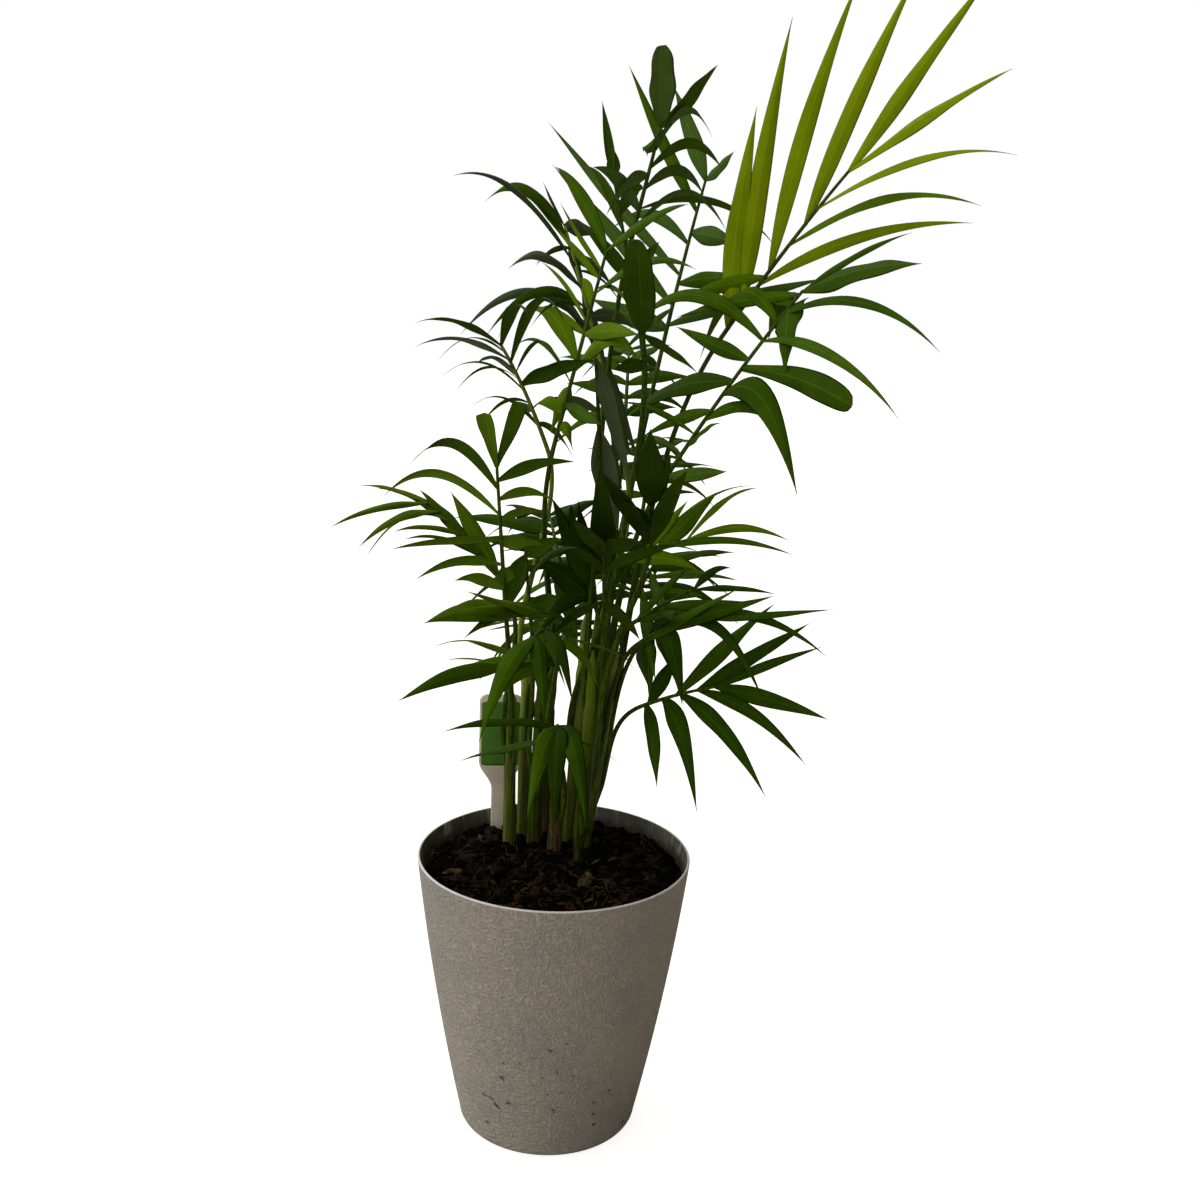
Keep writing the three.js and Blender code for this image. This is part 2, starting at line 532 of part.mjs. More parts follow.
// One leaflet as a three-sided blade: flat below, a ridge along the middle of its face.
// hand is +1 on the left and -1 on the right, give tilts it out of a neighbour's way.
function leaflet(f, s, hand, [length, angle, sag, width], give, grow) {
  const side = hand > 0 ? 0 : 1;
  const along = ribDirection(f, s);
  const face = UP.clone().addScaledVector(along, -along.z).normalize();
  face.applyAxisAngle(along, rad(f.roll));
  const across = new THREE.Vector3().crossVectors(face, along).multiplyScalar(hand);
  const lift = rad(f.lift + give);
  const a = rad(angle);
  const outward = across.clone().multiplyScalar(Math.cos(lift)).addScaledVector(face, Math.sin(lift));
  const aim = along.clone().multiplyScalar(Math.cos(a)).addScaledVector(outward, Math.sin(a));
  const fall = sag * (0.3 + 0.7 * Math.hypot(aim.x, aim.y));
  const bend = along.clone().multiplyScalar((f.sweep ?? [0, 0])[side]).addScaledVector(UP, -fall);
  const skin = face.clone().multiplyScalar(Math.cos(lift)).addScaledVector(across, -Math.sin(lift));
  skin.applyAxisAngle(aim, rad((f.turn ?? [0, 0])[side]) * hand);
  const wide = new THREE.Vector3().crossVectors(aim, skin).normalize();
  const root = ribPoint(f, s).addScaledVector(aim, -0.4);
  const thick = length / 95 + 0.35;
  const stops = length > 70 ? [0, 0.22, 0.5, 0.8, 1] : [0, 0.3, 0.68, 1];
  const rings = stops.length - 1;
  const g = new THREE.ConeGeometry(1, 1, 3, rings);
  const p = g.attributes.position;
  for (let i = 0; i < p.count; i += 1) {
    const v = p.getY(i) + 0.5;
    const u = stops[Math.round(v * rings)];
    const ring = v < 1 ? 1 / (1 - v) : 0;
    const tangent = aim.clone().addScaledVector(bend, u).normalize();
    const w = wide.clone().addScaledVector(tangent, -wide.dot(tangent)).normalize();
    const n = new THREE.Vector3().crossVectors(w, tangent);
    const share = leafShare(u);
    const at = root.clone().addScaledVector(aim, length * u);
    at.addScaledVector(bend, 0.5 * length * u * u);
    at.addScaledVector(w, p.getX(i) * ring / 0.866 * (width * share / 2 + grow));
    const high = p.getZ(i) * ring;
    at.addScaledVector(n, high * 0.67 * thick * (0.5 + 0.5 * share) + Math.sign(high) * grow);
    p.setXYZ(i, at.x, at.y, at.z);
  }
  return g;
}

// Where leaflet i of n sits along the rib.
function station(f, side, i, n) {
  const first = (f.from ?? [0.05, 0.05])[side];
  return n < 2 ? 1 : first + (1 - first) * (i / (n - 1)) ** (f.crowd ?? [1, 1])[side];
}

// ---------------------------------------------------------------- assembly
const object = new THREE.Group();

function place(name, geometry, material) {
  const mesh = new THREE.Mesh(geometry, material);
  mesh.name = name;
  object.add(mesh);
  return mesh;
}

// Pieces that leaflets keep clear of, each with its box for a quick first test.
const taken = [];

function keepClear(owner, geometry) {
  geometry.computeBoundingBox();
  taken.push({ owner, box: geometry.boundingBox.clone(), solid: toSolid(geometry) });
}

const pot = place('pot', potGeometry(), POT_GREY);
const soil = place('soil', soilGeometry(), SOIL_BROWN);
keepClear('pot', pot.geometry);
keepClear('soil', soil.geometry);

const labelFoot = soilHeight(LABEL.x, LABEL.y) + 0.8;
const label = labelGeometry().rotateZ(rad(LABEL.turn)).translate(LABEL.x, LABEL.y, labelFoot);
place('plant_label', label, LABEL_WHITE);
keepClear('plant_label', label);

for (const [number, c] of Object.entries(CANES)) {
  const g = caneGeometry(c);
  place(`cane_${number}`, g, CANE_GREEN);
  keepClear(`cane_${number}`, g);
}

const stalks = new Map();
for (const f of FRONDS) {
  const g = frondStalk(f);
  stalks.set(f.name, toSolid(g));
  keepClear(f.name, g);
}

for (const f of FRONDS) {
  let frond = stalks.get(f.name);
  for (const hand of [1, -1]) {
    const side = hand > 0 ? 0 : 1;
    const rows = leafRows(f, hand > 0 ? 'left' : 'right');
    rows.forEach((row, i) => {
      const s = station(f, side, i, rows.length);
      for (const give of [0, 8, -8, 16, -16, 24, -24]) {
        const room = leaflet(f, s, hand, row, give, CLEAR);
        room.computeBoundingBox();
        const others = taken.filter((t) => t.owner !== f.name && t.box.intersectsBox(room.boundingBox));
        const probe = toSolid(room);
        if (!others.some((t) => touches(t.solid, probe))) {
          const blade = leaflet(f, s, hand, row, give, 0);
          frond = frond.add(toSolid(blade));
          keepClear(f.name, blade);
          break;
        }
      }
    });
  }
  const tone = f.name === 'frond_high_right' ? LEAF_LIGHT : LEAF_GREEN;
  place(f.name, toGeometry(withoutSlivers(frond, SLIVER)), tone);
}

export default object;
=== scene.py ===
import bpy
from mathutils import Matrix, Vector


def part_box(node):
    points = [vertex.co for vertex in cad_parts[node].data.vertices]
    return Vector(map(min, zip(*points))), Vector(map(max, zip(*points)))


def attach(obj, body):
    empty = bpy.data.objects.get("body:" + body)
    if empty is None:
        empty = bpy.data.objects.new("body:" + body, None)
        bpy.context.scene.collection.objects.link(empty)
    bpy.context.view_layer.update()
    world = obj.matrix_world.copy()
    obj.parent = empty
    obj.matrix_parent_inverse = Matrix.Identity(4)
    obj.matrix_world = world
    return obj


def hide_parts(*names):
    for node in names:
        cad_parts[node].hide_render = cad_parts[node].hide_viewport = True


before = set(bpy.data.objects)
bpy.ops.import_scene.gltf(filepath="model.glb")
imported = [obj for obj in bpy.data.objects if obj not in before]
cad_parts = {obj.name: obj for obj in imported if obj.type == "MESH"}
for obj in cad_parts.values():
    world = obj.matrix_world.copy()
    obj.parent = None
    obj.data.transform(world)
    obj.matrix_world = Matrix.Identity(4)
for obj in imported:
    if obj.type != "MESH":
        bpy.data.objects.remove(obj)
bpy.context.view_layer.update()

import bpy
import numpy as np
from mathutils import Euler, Matrix

# Parlour palm in a pot. Sizes below are in millimetres and angles in degrees, as measured on the
# plant; every mesh is written in metres. Z is up and the origin is under the pot's centre.

# ---------------------------------------------------------------- pot
# A tapered pot, injection moulded in one piece from stone-grey plastic. The mould gives its
# outside a fine leather grain, whose grooves are darkened with painted shade; the thin lip is plain
# and has a painted highlight. It has been used: its lower half has a few scuffs and specks, and
# water has left marks inside. The inside wall is painted darker as shade, and darker still near the
# soil with dust and painted shade.
MM = 0.001
POT_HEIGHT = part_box("pot")[1].z / MM
FOOT_RADIUS = 45.7
RIM_RADIUS = 70
BELLY = 2
WALL = 2.6
FLOOR = 4
FOOT_ROUND = 5
POT_SEGMENTS = 192
LIP_ROUND = 0.65
LIP_DEEP = 9
# Underneath, (r, z) from the middle out: a shallow recess, then the flat ring that the pot stands on.
RECESS = ((2, 1.2), (30, 1.2), (33.5, 1.1), (34.6, 0.3), (35.4, 0))
# The plastic's grain: how deep it is, how far noise bends it (metres), and its lean (radians).
GRAIN_DEPTH = 0.0008
BEND = 0.0036
GRAIN_LEAN = (0.6, 0.75, 0)
# Heights (metres) over which the wear outside, and the dust and painted shade inside, come in, downwards.
WORN_BELOW = (0.100, 0.060)
DUST_AND_SHADE_BELOW = (0.147, 0.141)
GREY, GREY_CLOUD = (0.466, 0.433, 0.368, 1), (0.388, 0.380, 0.345, 1)
# The groove grey is painted shade in the grain's grooves; the pale lip colour is a painted highlight.
GROOVE_SHADE, LIP_HIGHLIGHT = (0.24, 0.215, 0.18, 1), (0.74, 0.72, 0.68, 1)
# The dark colour near the soil inside is dust and painted shade.
WORN_DARK, DUST_AND_SHADE = (0.035, 0.028, 0.02, 1), (0.035, 0.027, 0.018, 1)
# Inside, the plastic's grey is painted darker as shade, in clouds; the run marks are pale.
INSIDE_SHADE, INSIDE_SHADE_CLOUD, RUN_MARK = (0.15, 0.142, 0.110, 1), (0.07, 0.066, 0.050, 1), (0.42, 0.41, 0.35, 1)


def pot_radius(z):
    """Outer radius at height z: straight taper from foot to rim, plus BELLY halfway up as a parabola."""
    t = np.clip(z / POT_HEIGHT, 0, 1)
    return FOOT_RADIUS + (RIM_RADIUS - FOOT_RADIUS) * t + BELLY * 4 * t * (1 - t)


def arc(centre, radius, start, end, count):
    """Points (r, z) on a circle: centre + radius * (cos, sin) of angles from start to end."""
    angle = np.radians(np.linspace(start, end, count))
    return np.stack([centre[0] + radius * np.cos(angle), centre[1] + radius * np.sin(angle)], 1)


def side(low, high, count, inset):
    """Points (r, z) along the pot's side, inset from its outer skin."""
    z = np.linspace(low, high, count)
    return np.stack([pot_radius(z) - inset, z], 1)


def lathe(profile, count):
    """Rings (1, profile points, count, xyz): each profile point (r, z) carried round the Z axis."""
    angle = np.linspace(0, 2 * np.pi, count, endpoint=False)
    r, z = profile[:, :1], profile[:, 1:]
    return np.stack([r * np.cos(angle), r * np.sin(angle), z + 0 * angle], -1)[None]


def loft(rings):
    """Closed skins from rings (pieces, rings, points, xyz).

    Quads join neighbouring rings, and a fan to its mean point closes each end ring.
    """
    pieces, m, n, _ = rings.shape
    ends = rings[:, [0, -1]].mean(axis=2)
    points = np.concatenate([rings.reshape(pieces, m * n, -1), ends], axis=1)
    k = np.arange(n)
    after = (k + 1) % n
    row = np.arange(m - 1)[:, None] * n
    quads = np.stack([row + k, row + after, row + n + after, row + n + k], -1).reshape(-1, 4)
    last = (m - 1) * n
    fans = np.concatenate([
        np.stack([after, k, np.full(n, m * n)], 1),
        np.stack([last + k, last + after, np.full(n, m * n + 1)], 1),
    ])
    step = (np.arange(pieces) * (m * n + 2))[:, None, None]
    return points.reshape(-1, rings.shape[-1]), (quads + step).reshape(-1, 4), (fans + step).reshape(-1, 3)


def add_piece(name, rings, materials, pick=None, uv=None, **attributes):
    """A mesh object, in metres, from rings (see loft).

    pick is the material of each quad, (pieces, rings - 1, points). uv has two numbers for each ring
    point, and each attribute has one; both follow the rings' shape.
    """
    points, quads, fans = loft(rings)
    corners = np.concatenate([quads.ravel(), fans.ravel()]).astype(np.int32)
    starts = np.concatenate([np.arange(len(quads)) * 4, len(quads) * 4 + np.arange(len(fans)) * 3])
    mesh = bpy.data.meshes.new(name)
    mesh.vertices.add(len(points))
    mesh.vertices.foreach_set("co", (points * MM).astype(np.float32).ravel())
    mesh.loops.add(len(corners))
    mesh.loops.foreach_set("vertex_index", corners)
    mesh.polygons.add(len(starts))
    mesh.polygons.foreach_set("loop_start", starts.astype(np.int32))
    mesh.polygons.foreach_set("use_smooth", np.ones(len(starts), bool))
    for material in materials:
        mesh.materials.append(material)
    if pick is not None:
        chosen = np.zeros(len(starts), np.int32)
        chosen[: len(quads)] = np.broadcast_to(pick, (len(rings), rings.shape[1] - 1, rings.shape[2])).ravel()
        mesh.polygons.foreach_set("material_index", chosen)
    if uv is not None:
        flat = loft(np.broadcast_to(uv, rings.shape[:3] + (2,)))[0]
        layer = mesh.uv_layers.new(name="UVMap")
        layer.data.foreach_set("uv", flat[corners].astype(np.float32).ravel())
    for key, values in attributes.items():
        flat = loft(np.broadcast_to(values, rings.shape[:3])[..., None])[0]
        layer = mesh.attributes.new(key, "FLOAT", "POINT")
        layer.data.foreach_set("value", flat.astype(np.float32).ravel())
    mesh.update(calc_edges=True)
    mesh.validate()
    piece = bpy.data.objects.new(name, mesh)
    bpy.context.scene.collection.objects.link(piece)
    return piece


def add(tree, kind, inputs=(), **settings):
    """A new shader node. inputs maps a socket's name or number to a value, or to the socket that feeds it."""
    node = tree.nodes.new(kind)
    for key, value in settings.items():
        setattr(node, key, value)
    for key, value in dict(inputs).items():
        if isinstance(value, bpy.types.NodeSocket):
            tree.links.new(value, node.inputs[key])
        else:
            node.inputs[key].default_value = value
    return node


def new_finish(name, **sockets):
    """A material, its node tree and the object's coordinates. Constants go on the shader's own sockets."""
    material = bpy.data.materials.new(name)
    material.use_nodes = True
    tree = material.node_tree
    for key, value in sockets.items():
        tree.nodes["Principled BSDF"].inputs[key.replace("_", " ")].default_value = value
    return material, tree, add(tree, "ShaderNodeTexCoord").outputs["Object"]


def dress(material, colour, height, depth, strength=1.0):
    """The material with its colour and its relief, whose full range is depth in metres, fed to its shader."""
    tree = material.node_tree
    inputs = {"Height": height, "Distance": depth, "Strength": strength}
    relief = add(tree, "ShaderNodeBump", inputs).outputs[0]
    tree.links.new(colour, tree.nodes["Principled BSDF"].inputs["Base Color"])
    tree.links.new(relief, tree.nodes["Principled BSDF"].inputs["Normal"])
    return material


def new_group(name, inputs, outputs):
    """A shader node group with named inputs {name: default} and outputs {name: socket type}."""
    group = bpy.data.node_groups.new(name, "ShaderNodeTree")
    kinds = {float: "NodeSocketFloat", tuple: "NodeSocketColor", str: "NodeSocketVector"}
    for key, value in inputs.items():
        socket = group.interface.new_socket(key, in_out="INPUT", socket_type=kinds[type(value)])
        if not isinstance(value, str):
            socket.default_value = value
    for key, kind in outputs.items():
        group.interface.new_socket(key, in_out="OUTPUT", socket_type=kind)
    return group, add(group, "NodeGroupInput").outputs, add(group, "NodeGroupOutput").inputs


def place_group(tree, group, **inputs):
    """The outputs of the group's node in a material, with its inputs fed by name."""
    named = {key.replace("_", " "): value for key, value in inputs.items()}
    return add(tree, "ShaderNodeGroup", named, node_tree=group).outputs


def math(tree, operation, a, b=0.0, c=0.0):
    """One Math node's output."""
    return add(tree, "ShaderNodeMath", {0: a, 1: b, 2: c}, operation=operation).outputs[0]


def ramp(tree, value, low, high, start=0.0, end=1.0):
    """value carried smoothly from start at low to end at high."""
    inputs = {"Value": value, "From Min": low, "From Max": high, "To Min": start, "To Max": end}
    return add(tree, "ShaderNodeMapRange", inputs, interpolation_type="SMOOTHSTEP").outputs["Result"]


def blend_colours(tree, mask, a, b):
    """Colour a where mask is 0 and b where it is 1."""
    return add(tree, "ShaderNodeMix", {0: mask, 6: a, 7: b}, data_type="RGBA").outputs[2]


def noise(tree, vector, scale, detail=2.0, roughness=0.5):
    """Soft noise from 0 to 1; scale is in cycles per metre."""
    inputs = {"Vector": vector, "Scale": scale, "Detail": detail, "Roughness": roughness}
    return add(tree, "ShaderNodeTexNoise", inputs).outputs


def stretched(tree, vector, scale, detail):
    """Noise with a scale of its own along each axis, for streaks."""
    vector = add(tree, "ShaderNodeMapping", {"Vector": vector, "Scale": scale}).outputs[0]
    return noise(tree, vector, 1.0, detail)[0]


# Cloudy change between two colours, used by every finish of the pot, the soil and the plant.
mottle, given, result = new_group(
    "mottle",
    {"Vector": "", "Colour": (1.0, 1.0, 1.0, 1.0), "Second Colour": (0.5, 0.5, 0.5, 1.0), "Scale": 40.0},
    {"Colour": "NodeSocketColor", "Mask": "NodeSocketFloat"},
)
cloud = ramp(mottle, noise(mottle, given["Vector"], given["Scale"], 4.0, 0.6)[0], 0.3, 0.7)
mottle.links.new(cloud, result["Mask"])
mottle.links.new(blend_colours(mottle, cloud, given["Colour"], given["Second Colour"]), result["Colour"])


def moulded_plastic():
    """Leather grain: wrinkles about 1.8 mm apart, bent and leaned by noise, with painted shade darkening
    their grooves, specks and scuffs low down, and a painted highlight on the lip.

    A speck fills the middle of a chance few of the cells; a scuff is where a streaky noise is highest.
    """
    material, tree, here = new_finish("pot moulded plastic", Roughness=0.6)
    colours = place_group(tree, mottle, Vector=here, Scale=26.0, Colour=GREY, Second_Colour=GREY_CLOUD)
    bent = noise(tree, here, 170.0, 1.0)[1]
    shift = add(tree, "ShaderNodeVectorMath", {0: bent, 1: (BEND,) * 3}, operation="MULTIPLY").outputs[0]
    moved = add(tree, "ShaderNodeVectorMath", {0: here, 1: shift}, operation="ADD").outputs[0]
    leaning = add(tree, "ShaderNodeMapping", {"Vector": moved, "Rotation": GRAIN_LEAN}).outputs[0]
    wrinkle = stretched(tree, leaning, (900, 900, 520), 2.0)

    up = add(tree, "ShaderNodeSeparateXYZ", {0: here}).outputs[2]
    cells = add(tree, "ShaderNodeTexVoronoi", {"Vector": here, "Scale": 125.0}).outputs
    chance = add(tree, "ShaderNodeSeparateColor", {0: cells["Color"]}).outputs[0]
    speck = math(tree, "LESS_THAN", cells["Distance"], ramp(tree, chance, 0.30, 1.0, 0.0, 0.15))
    scuff = ramp(tree, stretched(tree, leaning, (330, 330, 110), 2.0), 0.675, 0.70)
    worn = math(tree, "MULTIPLY", math(tree, "MAXIMUM", speck, scuff), ramp(tree, up, *WORN_BELOW))
    worn = math(tree, "MULTIPLY", worn, ramp(tree, noise(tree, here, 28.0, 1.0)[0], 0.42, 0.54))

    # Painted shade: the grooves of the grain are darkened towards the groove grey.
    groove_shade = ramp(tree, wrinkle, 0.60, 0.34, 0.0, 0.42)
    colour = blend_colours(tree, groove_shade, colours["Colour"], GROOVE_SHADE)
    colour = blend_colours(tree, math(tree, "MULTIPLY", worn, 0.85), colour, WORN_DARK)
    # Painted highlight: the top of the lip is coloured pale, and has no grain.
    lip = ramp(tree, up, (POT_HEIGHT - 0.9) * MM, (POT_HEIGHT - 0.5) * MM)
    colour = blend_colours(tree, lip, colour, LIP_HIGHLIGHT)
    height = math(tree, "MULTIPLY", ramp(tree, wrinkle, 0.3, 0.7), math(tree, "SUBTRACT", 1.0, lip))
    return dress(material, colour, height, GRAIN_DEPTH)


def inner_wall():
    """The same plastic inside, painted darker as shade: dust and painted shade that fade up from the soil,
    and pale run marks down the wall.
    """
    material, tree, here = new_finish("pot inner wall", Roughness=0.7)
    up = add(tree, "ShaderNodeSeparateXYZ", {0: here}).outputs[2]
    # Painted shade: the inside wall's grey is a darker copy of the outside's.
    colours = place_group(tree, mottle, Vector=here, Scale=60.0, Colour=INSIDE_SHADE, Second_Colour=INSIDE_SHADE_CLOUD)
    run = ramp(tree, stretched(tree, here, (130, 130, 14), 3.0), 0.52, 0.72)
    colour = blend_colours(tree, run, colours["Colour"], RUN_MARK)
    # Dust and painted shade darken the wall just above the soil, along a wavy line.
    dust_and_shade_line = math(tree, "MULTIPLY_ADD", noise(tree, here, 90.0, 3.0)[0], 0.008, up)
    colour = blend_colours(tree, ramp(tree, dust_and_shade_line, *DUST_AND_SHADE_BELOW), colour, DUST_AND_SHADE)
    return dress(material, colour, colours["Mask"], 0.0002, 0.4)


# The pot's section: underneath, round the foot, up the side, over the lip, down the thinner wall
# behind it, and down the full wall to the floor.
profile = np.concatenate([
    RECESS,
    arc((pot_radius(FOOT_ROUND) - FOOT_ROUND, FOOT_ROUND), FOOT_ROUND, -90, -4, 12),
    side(FOOT_ROUND + 0.6, POT_HEIGHT - 2, 34, 0),
    arc((pot_radius(POT_HEIGHT) - LIP_ROUND - 0.1, POT_HEIGHT - LIP_ROUND), LIP_ROUND, 0, 180, 13),
    side(POT_HEIGHT - 2, POT_HEIGHT - LIP_DEEP, 4, 2 * LIP_ROUND + 0.2),
    side(POT_HEIGHT - LIP_DEEP - 2, FLOOR + 2, 18, WALL),
    [(pot_radius(FLOOR) - WALL - 2, FLOOR), (3, FLOOR)],
])
rings = lathe(profile, POT_SEGMENTS)
# the inner wall's finish starts two rings past the top of the lip
inside = (np.arange(len(profile) - 1) > np.argmax(profile[:, 1]) + 2)[None, :, None]
pot = add_piece("pot_moulded", rings, [moulded_plastic(), inner_wall()], pick=inside)
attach(pot, "root")
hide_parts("pot")

# ---------------------------------------------------------------- soil
# Peat-based compost that fills the pot to a finger's width under the rim: a dark crumbly bed with
# bits of bark lying in it, some of them reddish, and loose coconut fibres in tangles.
SOIL_EDGE = 136.5
MOUND = 5
MOUND_X, MOUND_Y = -2, 26
MOUND_SPREAD = 32
SOIL_GAP = 0.1
SOIL_SEGMENTS = 240
# Lumps: how far apart the three sizes are, how high they stand, and how far the whole has settled.
COARSE, CRUMB, FINE = 15, 6, 2.6
COARSE_UP, CRUMB_UP, SETTLED = 0.9, 1.3, 1.2


def soil_level(x, y):
    """Height of the bed: level at the wall, with a bell-shaped mound round the canes."""
    near = (x - MOUND_X) ** 2 + (y - MOUND_Y) ** 2
    return SOIL_EDGE + MOUND * np.exp(-near / (2 * MOUND_SPREAD**2))


def lumps(x, y, size, seed, waves=14):
    """Bumpy field about -1 to 1: a sum of sine waves of random heading, with lengths near size."""
    draw = np.random.default_rng(seed)
    heading = draw.uniform(0, 2 * np.pi, waves)
    k = 2 * np.pi / (size * draw.uniform(0.7, 1.5, waves))
    phase = draw.uniform(0, 2 * np.pi, waves)
    along = np.multiply.outer(x, np.cos(heading) * k) + np.multiply.outer(y, np.sin(heading) * k)
    return np.sin(along + phase).sum(-1) / np.sqrt(waves)


def soil_surface(x, y):
    """The bed's skin: its level plus coarse lumps up and down, and finer ones of two sizes only up."""
    crumb = np.abs(lumps(x, y, CRUMB, 2)) + 0.5 * np.abs(lumps(x, y, FINE, 3))
    return soil_level(x, y) - SETTLED + COARSE_UP * lumps(x, y, COARSE, 1) + CRUMB_UP * crumb


def clouded(name, first, second, scale, depth, strength, **sockets):
    """Two colours in clouds, with a relief that follows them; scale is in clouds per metre."""
    material, tree, here = new_finish(name, **sockets)
    colours = place_group(tree, mottle, Vector=here, Scale=scale, Colour=first, Second_Colour=second)
    return dress(material, colours["Colour"], colours["Mask"], depth, strength)


def compost(name, first, second):
    """Crumbly matter: two dark colours in small clouds, rough and bumpy."""
    return clouded(name, first, second, 330.0, 0.0008, 0.9, Roughness=0.9, Specular_IOR_Level=0.04)


# The bed's section: its floor, the side along the wall, and the top, whose height the lumps then give.
brim = pot_radius(SOIL_EDGE) - WALL - SOIL_GAP
top = np.linspace(brim, 0.4, 66)
profile = np.concatenate([
    [(1, FLOOR + 0.5), (pot_radius(FLOOR) - WALL - 3, FLOOR + 0.5)],
    side(FLOOR + 4, SOIL_EDGE - 2, 12, WALL + SOIL_GAP),
    np.stack([top, np.full(len(top), SOIL_EDGE)], 1),
])
rings = lathe(profile, SOIL_SEGMENTS)
surface = rings[0, -len(top):]
surface[..., 2] = soil_surface(surface[..., 0], surface[..., 1])
peat = compost("soil peat", (0.0060, 0.0045, 0.0022, 1), (0.0010, 0.0008, 0.0004, 1))
bed = add_piece("soil_bed", rings, [peat])
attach(bed, "root")
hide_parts("soil")


def scatter(count, reach, draw):
    """Places (x, y) spread evenly over a disc: radius reach sqrt(share), at any angle."""
    radius = reach * np.sqrt(draw.uniform(0, 1, count))
    angle = draw.uniform(0, 2 * np.pi, count)
    return radius * np.cos(angle), radius * np.sin(angle)


def turned(v, axis, angle):
    """v turned about a unit axis by angle in radians: v cos + (axis x v) sin + axis (axis . v)(1 - cos)."""
    cos, sin = np.cos(angle)[..., None], np.sin(angle)[..., None]
    return v * cos + np.cross(axis, v) * sin + axis * (axis * v).sum(-1, keepdims=True) * (1 - cos)


def fragments(x, y, length, flat, sides, draw, stand=28):
    """Irregular flakes lying on the soil, as rings (count, 4, sides, xyz).

    Each is an uneven outline, about half as wide as long, carried through four levels as a rounded
    slab of thickness flat times its length, tipped by up to stand degrees and then turned at random.
    """
    count = len(x)
    angle = np.linspace(0, 2 * np.pi, sides, endpoint=False)
    outline = draw.uniform(0.72, 1.15, (count, 1, sides))
    wide = draw.uniform(0.25, 0.6, (count, 1, 1))
    level = np.array([-0.5, -0.3, 0.3, 0.5])[None, :, None]
    inset = np.array([0.6, 1.0, 0.95, 0.5])[None, :, None]
    half = (length / 2)[:, None, None]
    rough = draw.uniform(-0.14, 0.14, (count, 4, sides))
    local = np.stack([
        half * outline * inset * np.cos(angle),
        half * wide * outline * inset * np.sin(angle),
        (level + rough) * (length * flat)[:, None, None] + 0 * angle,
    ], -1)
    for axis, most in zip(np.eye(3), (stand, stand, 180)):
        local = turned(local, axis, np.radians(draw.uniform(-most, most, (count, 1, 1))))
    return local + np.stack([x, y, soil_surface(x, y) + 0.25 * length * flat], -1)[:, None, None]


draw = np.random.default_rng(11)
BARK_REACH, CRUMB_REACH, HAIR_REACH = 58, 63, 60
# name, count, shortest, longest, thickness share, two colours
BARK = (
    ("soil_bark_dark", 280, 4, 13, 0.20, (0.018, 0.013, 0.007, 1), (0.003, 0.0022, 0.0013, 1)),
    ("soil_bark_red", 60, 5, 14, 0.13, (0.075, 0.030, 0.009, 1), (0.008, 0.005, 0.0025, 1)),
    ("soil_bark_tan", 30, 6, 14, 0.08, (0.100, 0.072, 0.030, 1), (0.012, 0.009, 0.004, 1)),
)
for name, count, shortest, longest, flat, first, second in BARK:
    x, y = scatter(count, BARK_REACH, draw)
    length = draw.uniform(shortest, longest, count)
    bark = add_piece(name, fragments(x, y, length, flat, 9, draw), [compost(name, first, second)])
    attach(bark, "root")

x, y = scatter(2600, CRUMB_REACH, draw)
crumbs = fragments(x, y, draw.uniform(0.9, 3.0, len(x)), 0.7, 6, draw, stand=180)
crumbs = add_piece("soil_crumbs", crumbs, [peat])
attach(crumbs, "root")


def unit(a):
    """Vectors scaled to length 1."""
    return a / np.linalg.norm(a, axis=-1, keepdims=True)


def tubes(path, radius, sides):
    """Round tubes (pieces, rings, sides, xyz): circles square to each path, at right angles to its tangent.

    path is (pieces, rings, xyz) and radius is (pieces, rings), or (pieces, rings, sides).
    """
    tangent = unit(np.gradient(path, axis=1))
    sideways = unit(np.cross(tangent, (0.3, 1, 0.1)))
    across = np.cross(tangent, sideways)
    angle = np.linspace(0, 2 * np.pi, sides, endpoint=False)[:, None]
    circle = sideways[:, :, None] * np.cos(angle) + across[:, :, None] * np.sin(angle)
    radius = radius if radius.ndim == 3 else radius[..., None]
    return path[:, :, None] + circle * radius[..., None]


# Hairs: length, radius, most turn from end to end (radians), and how high one arches.
HAIR_LENGTH, HAIR_RADIUS = (6, 24), (0.07, 0.17)
HAIR_TURN, HAIR_ARCH = 2.2, (0.2, 4.5)


def fibres(x, y, draw):
    """Curly hairs: each heads off at random, turns steadily, and arches a little over the soil.

    The path adds up steps of that heading, is drawn in from the wall where it would pass it, and
    rises by a half sine wave. The radius thins to 0.4 of itself.
    """
    count = len(x)
    t = np.linspace(0, 1, 11)
    length = draw.uniform(*HAIR_LENGTH, (count, 1))
    heading = draw.uniform(0, 2 * np.pi, (count, 1)) + draw.uniform(-HAIR_TURN, HAIR_TURN, (count, 1)) * t
    px = x[:, None] + np.cumsum(np.cos(heading), 1) * length / len(t)
    py = y[:, None] + np.cumsum(np.sin(heading), 1) * length / len(t)
    keep_in = np.minimum(1, (brim - 1.5) / np.maximum(np.hypot(px, py), 1))
    px, py = px * keep_in, py * keep_in
    arch = draw.uniform(*HAIR_ARCH, (count, 1)) * np.sin(np.pi * t)
    path = np.stack([px, py, soil_surface(px, py) + 0.3 + arch], -1)
    thin = draw.uniform(*HAIR_RADIUS, (count, 1)) * (1 - 0.6 * t)
    return tubes(path, thin, 5)


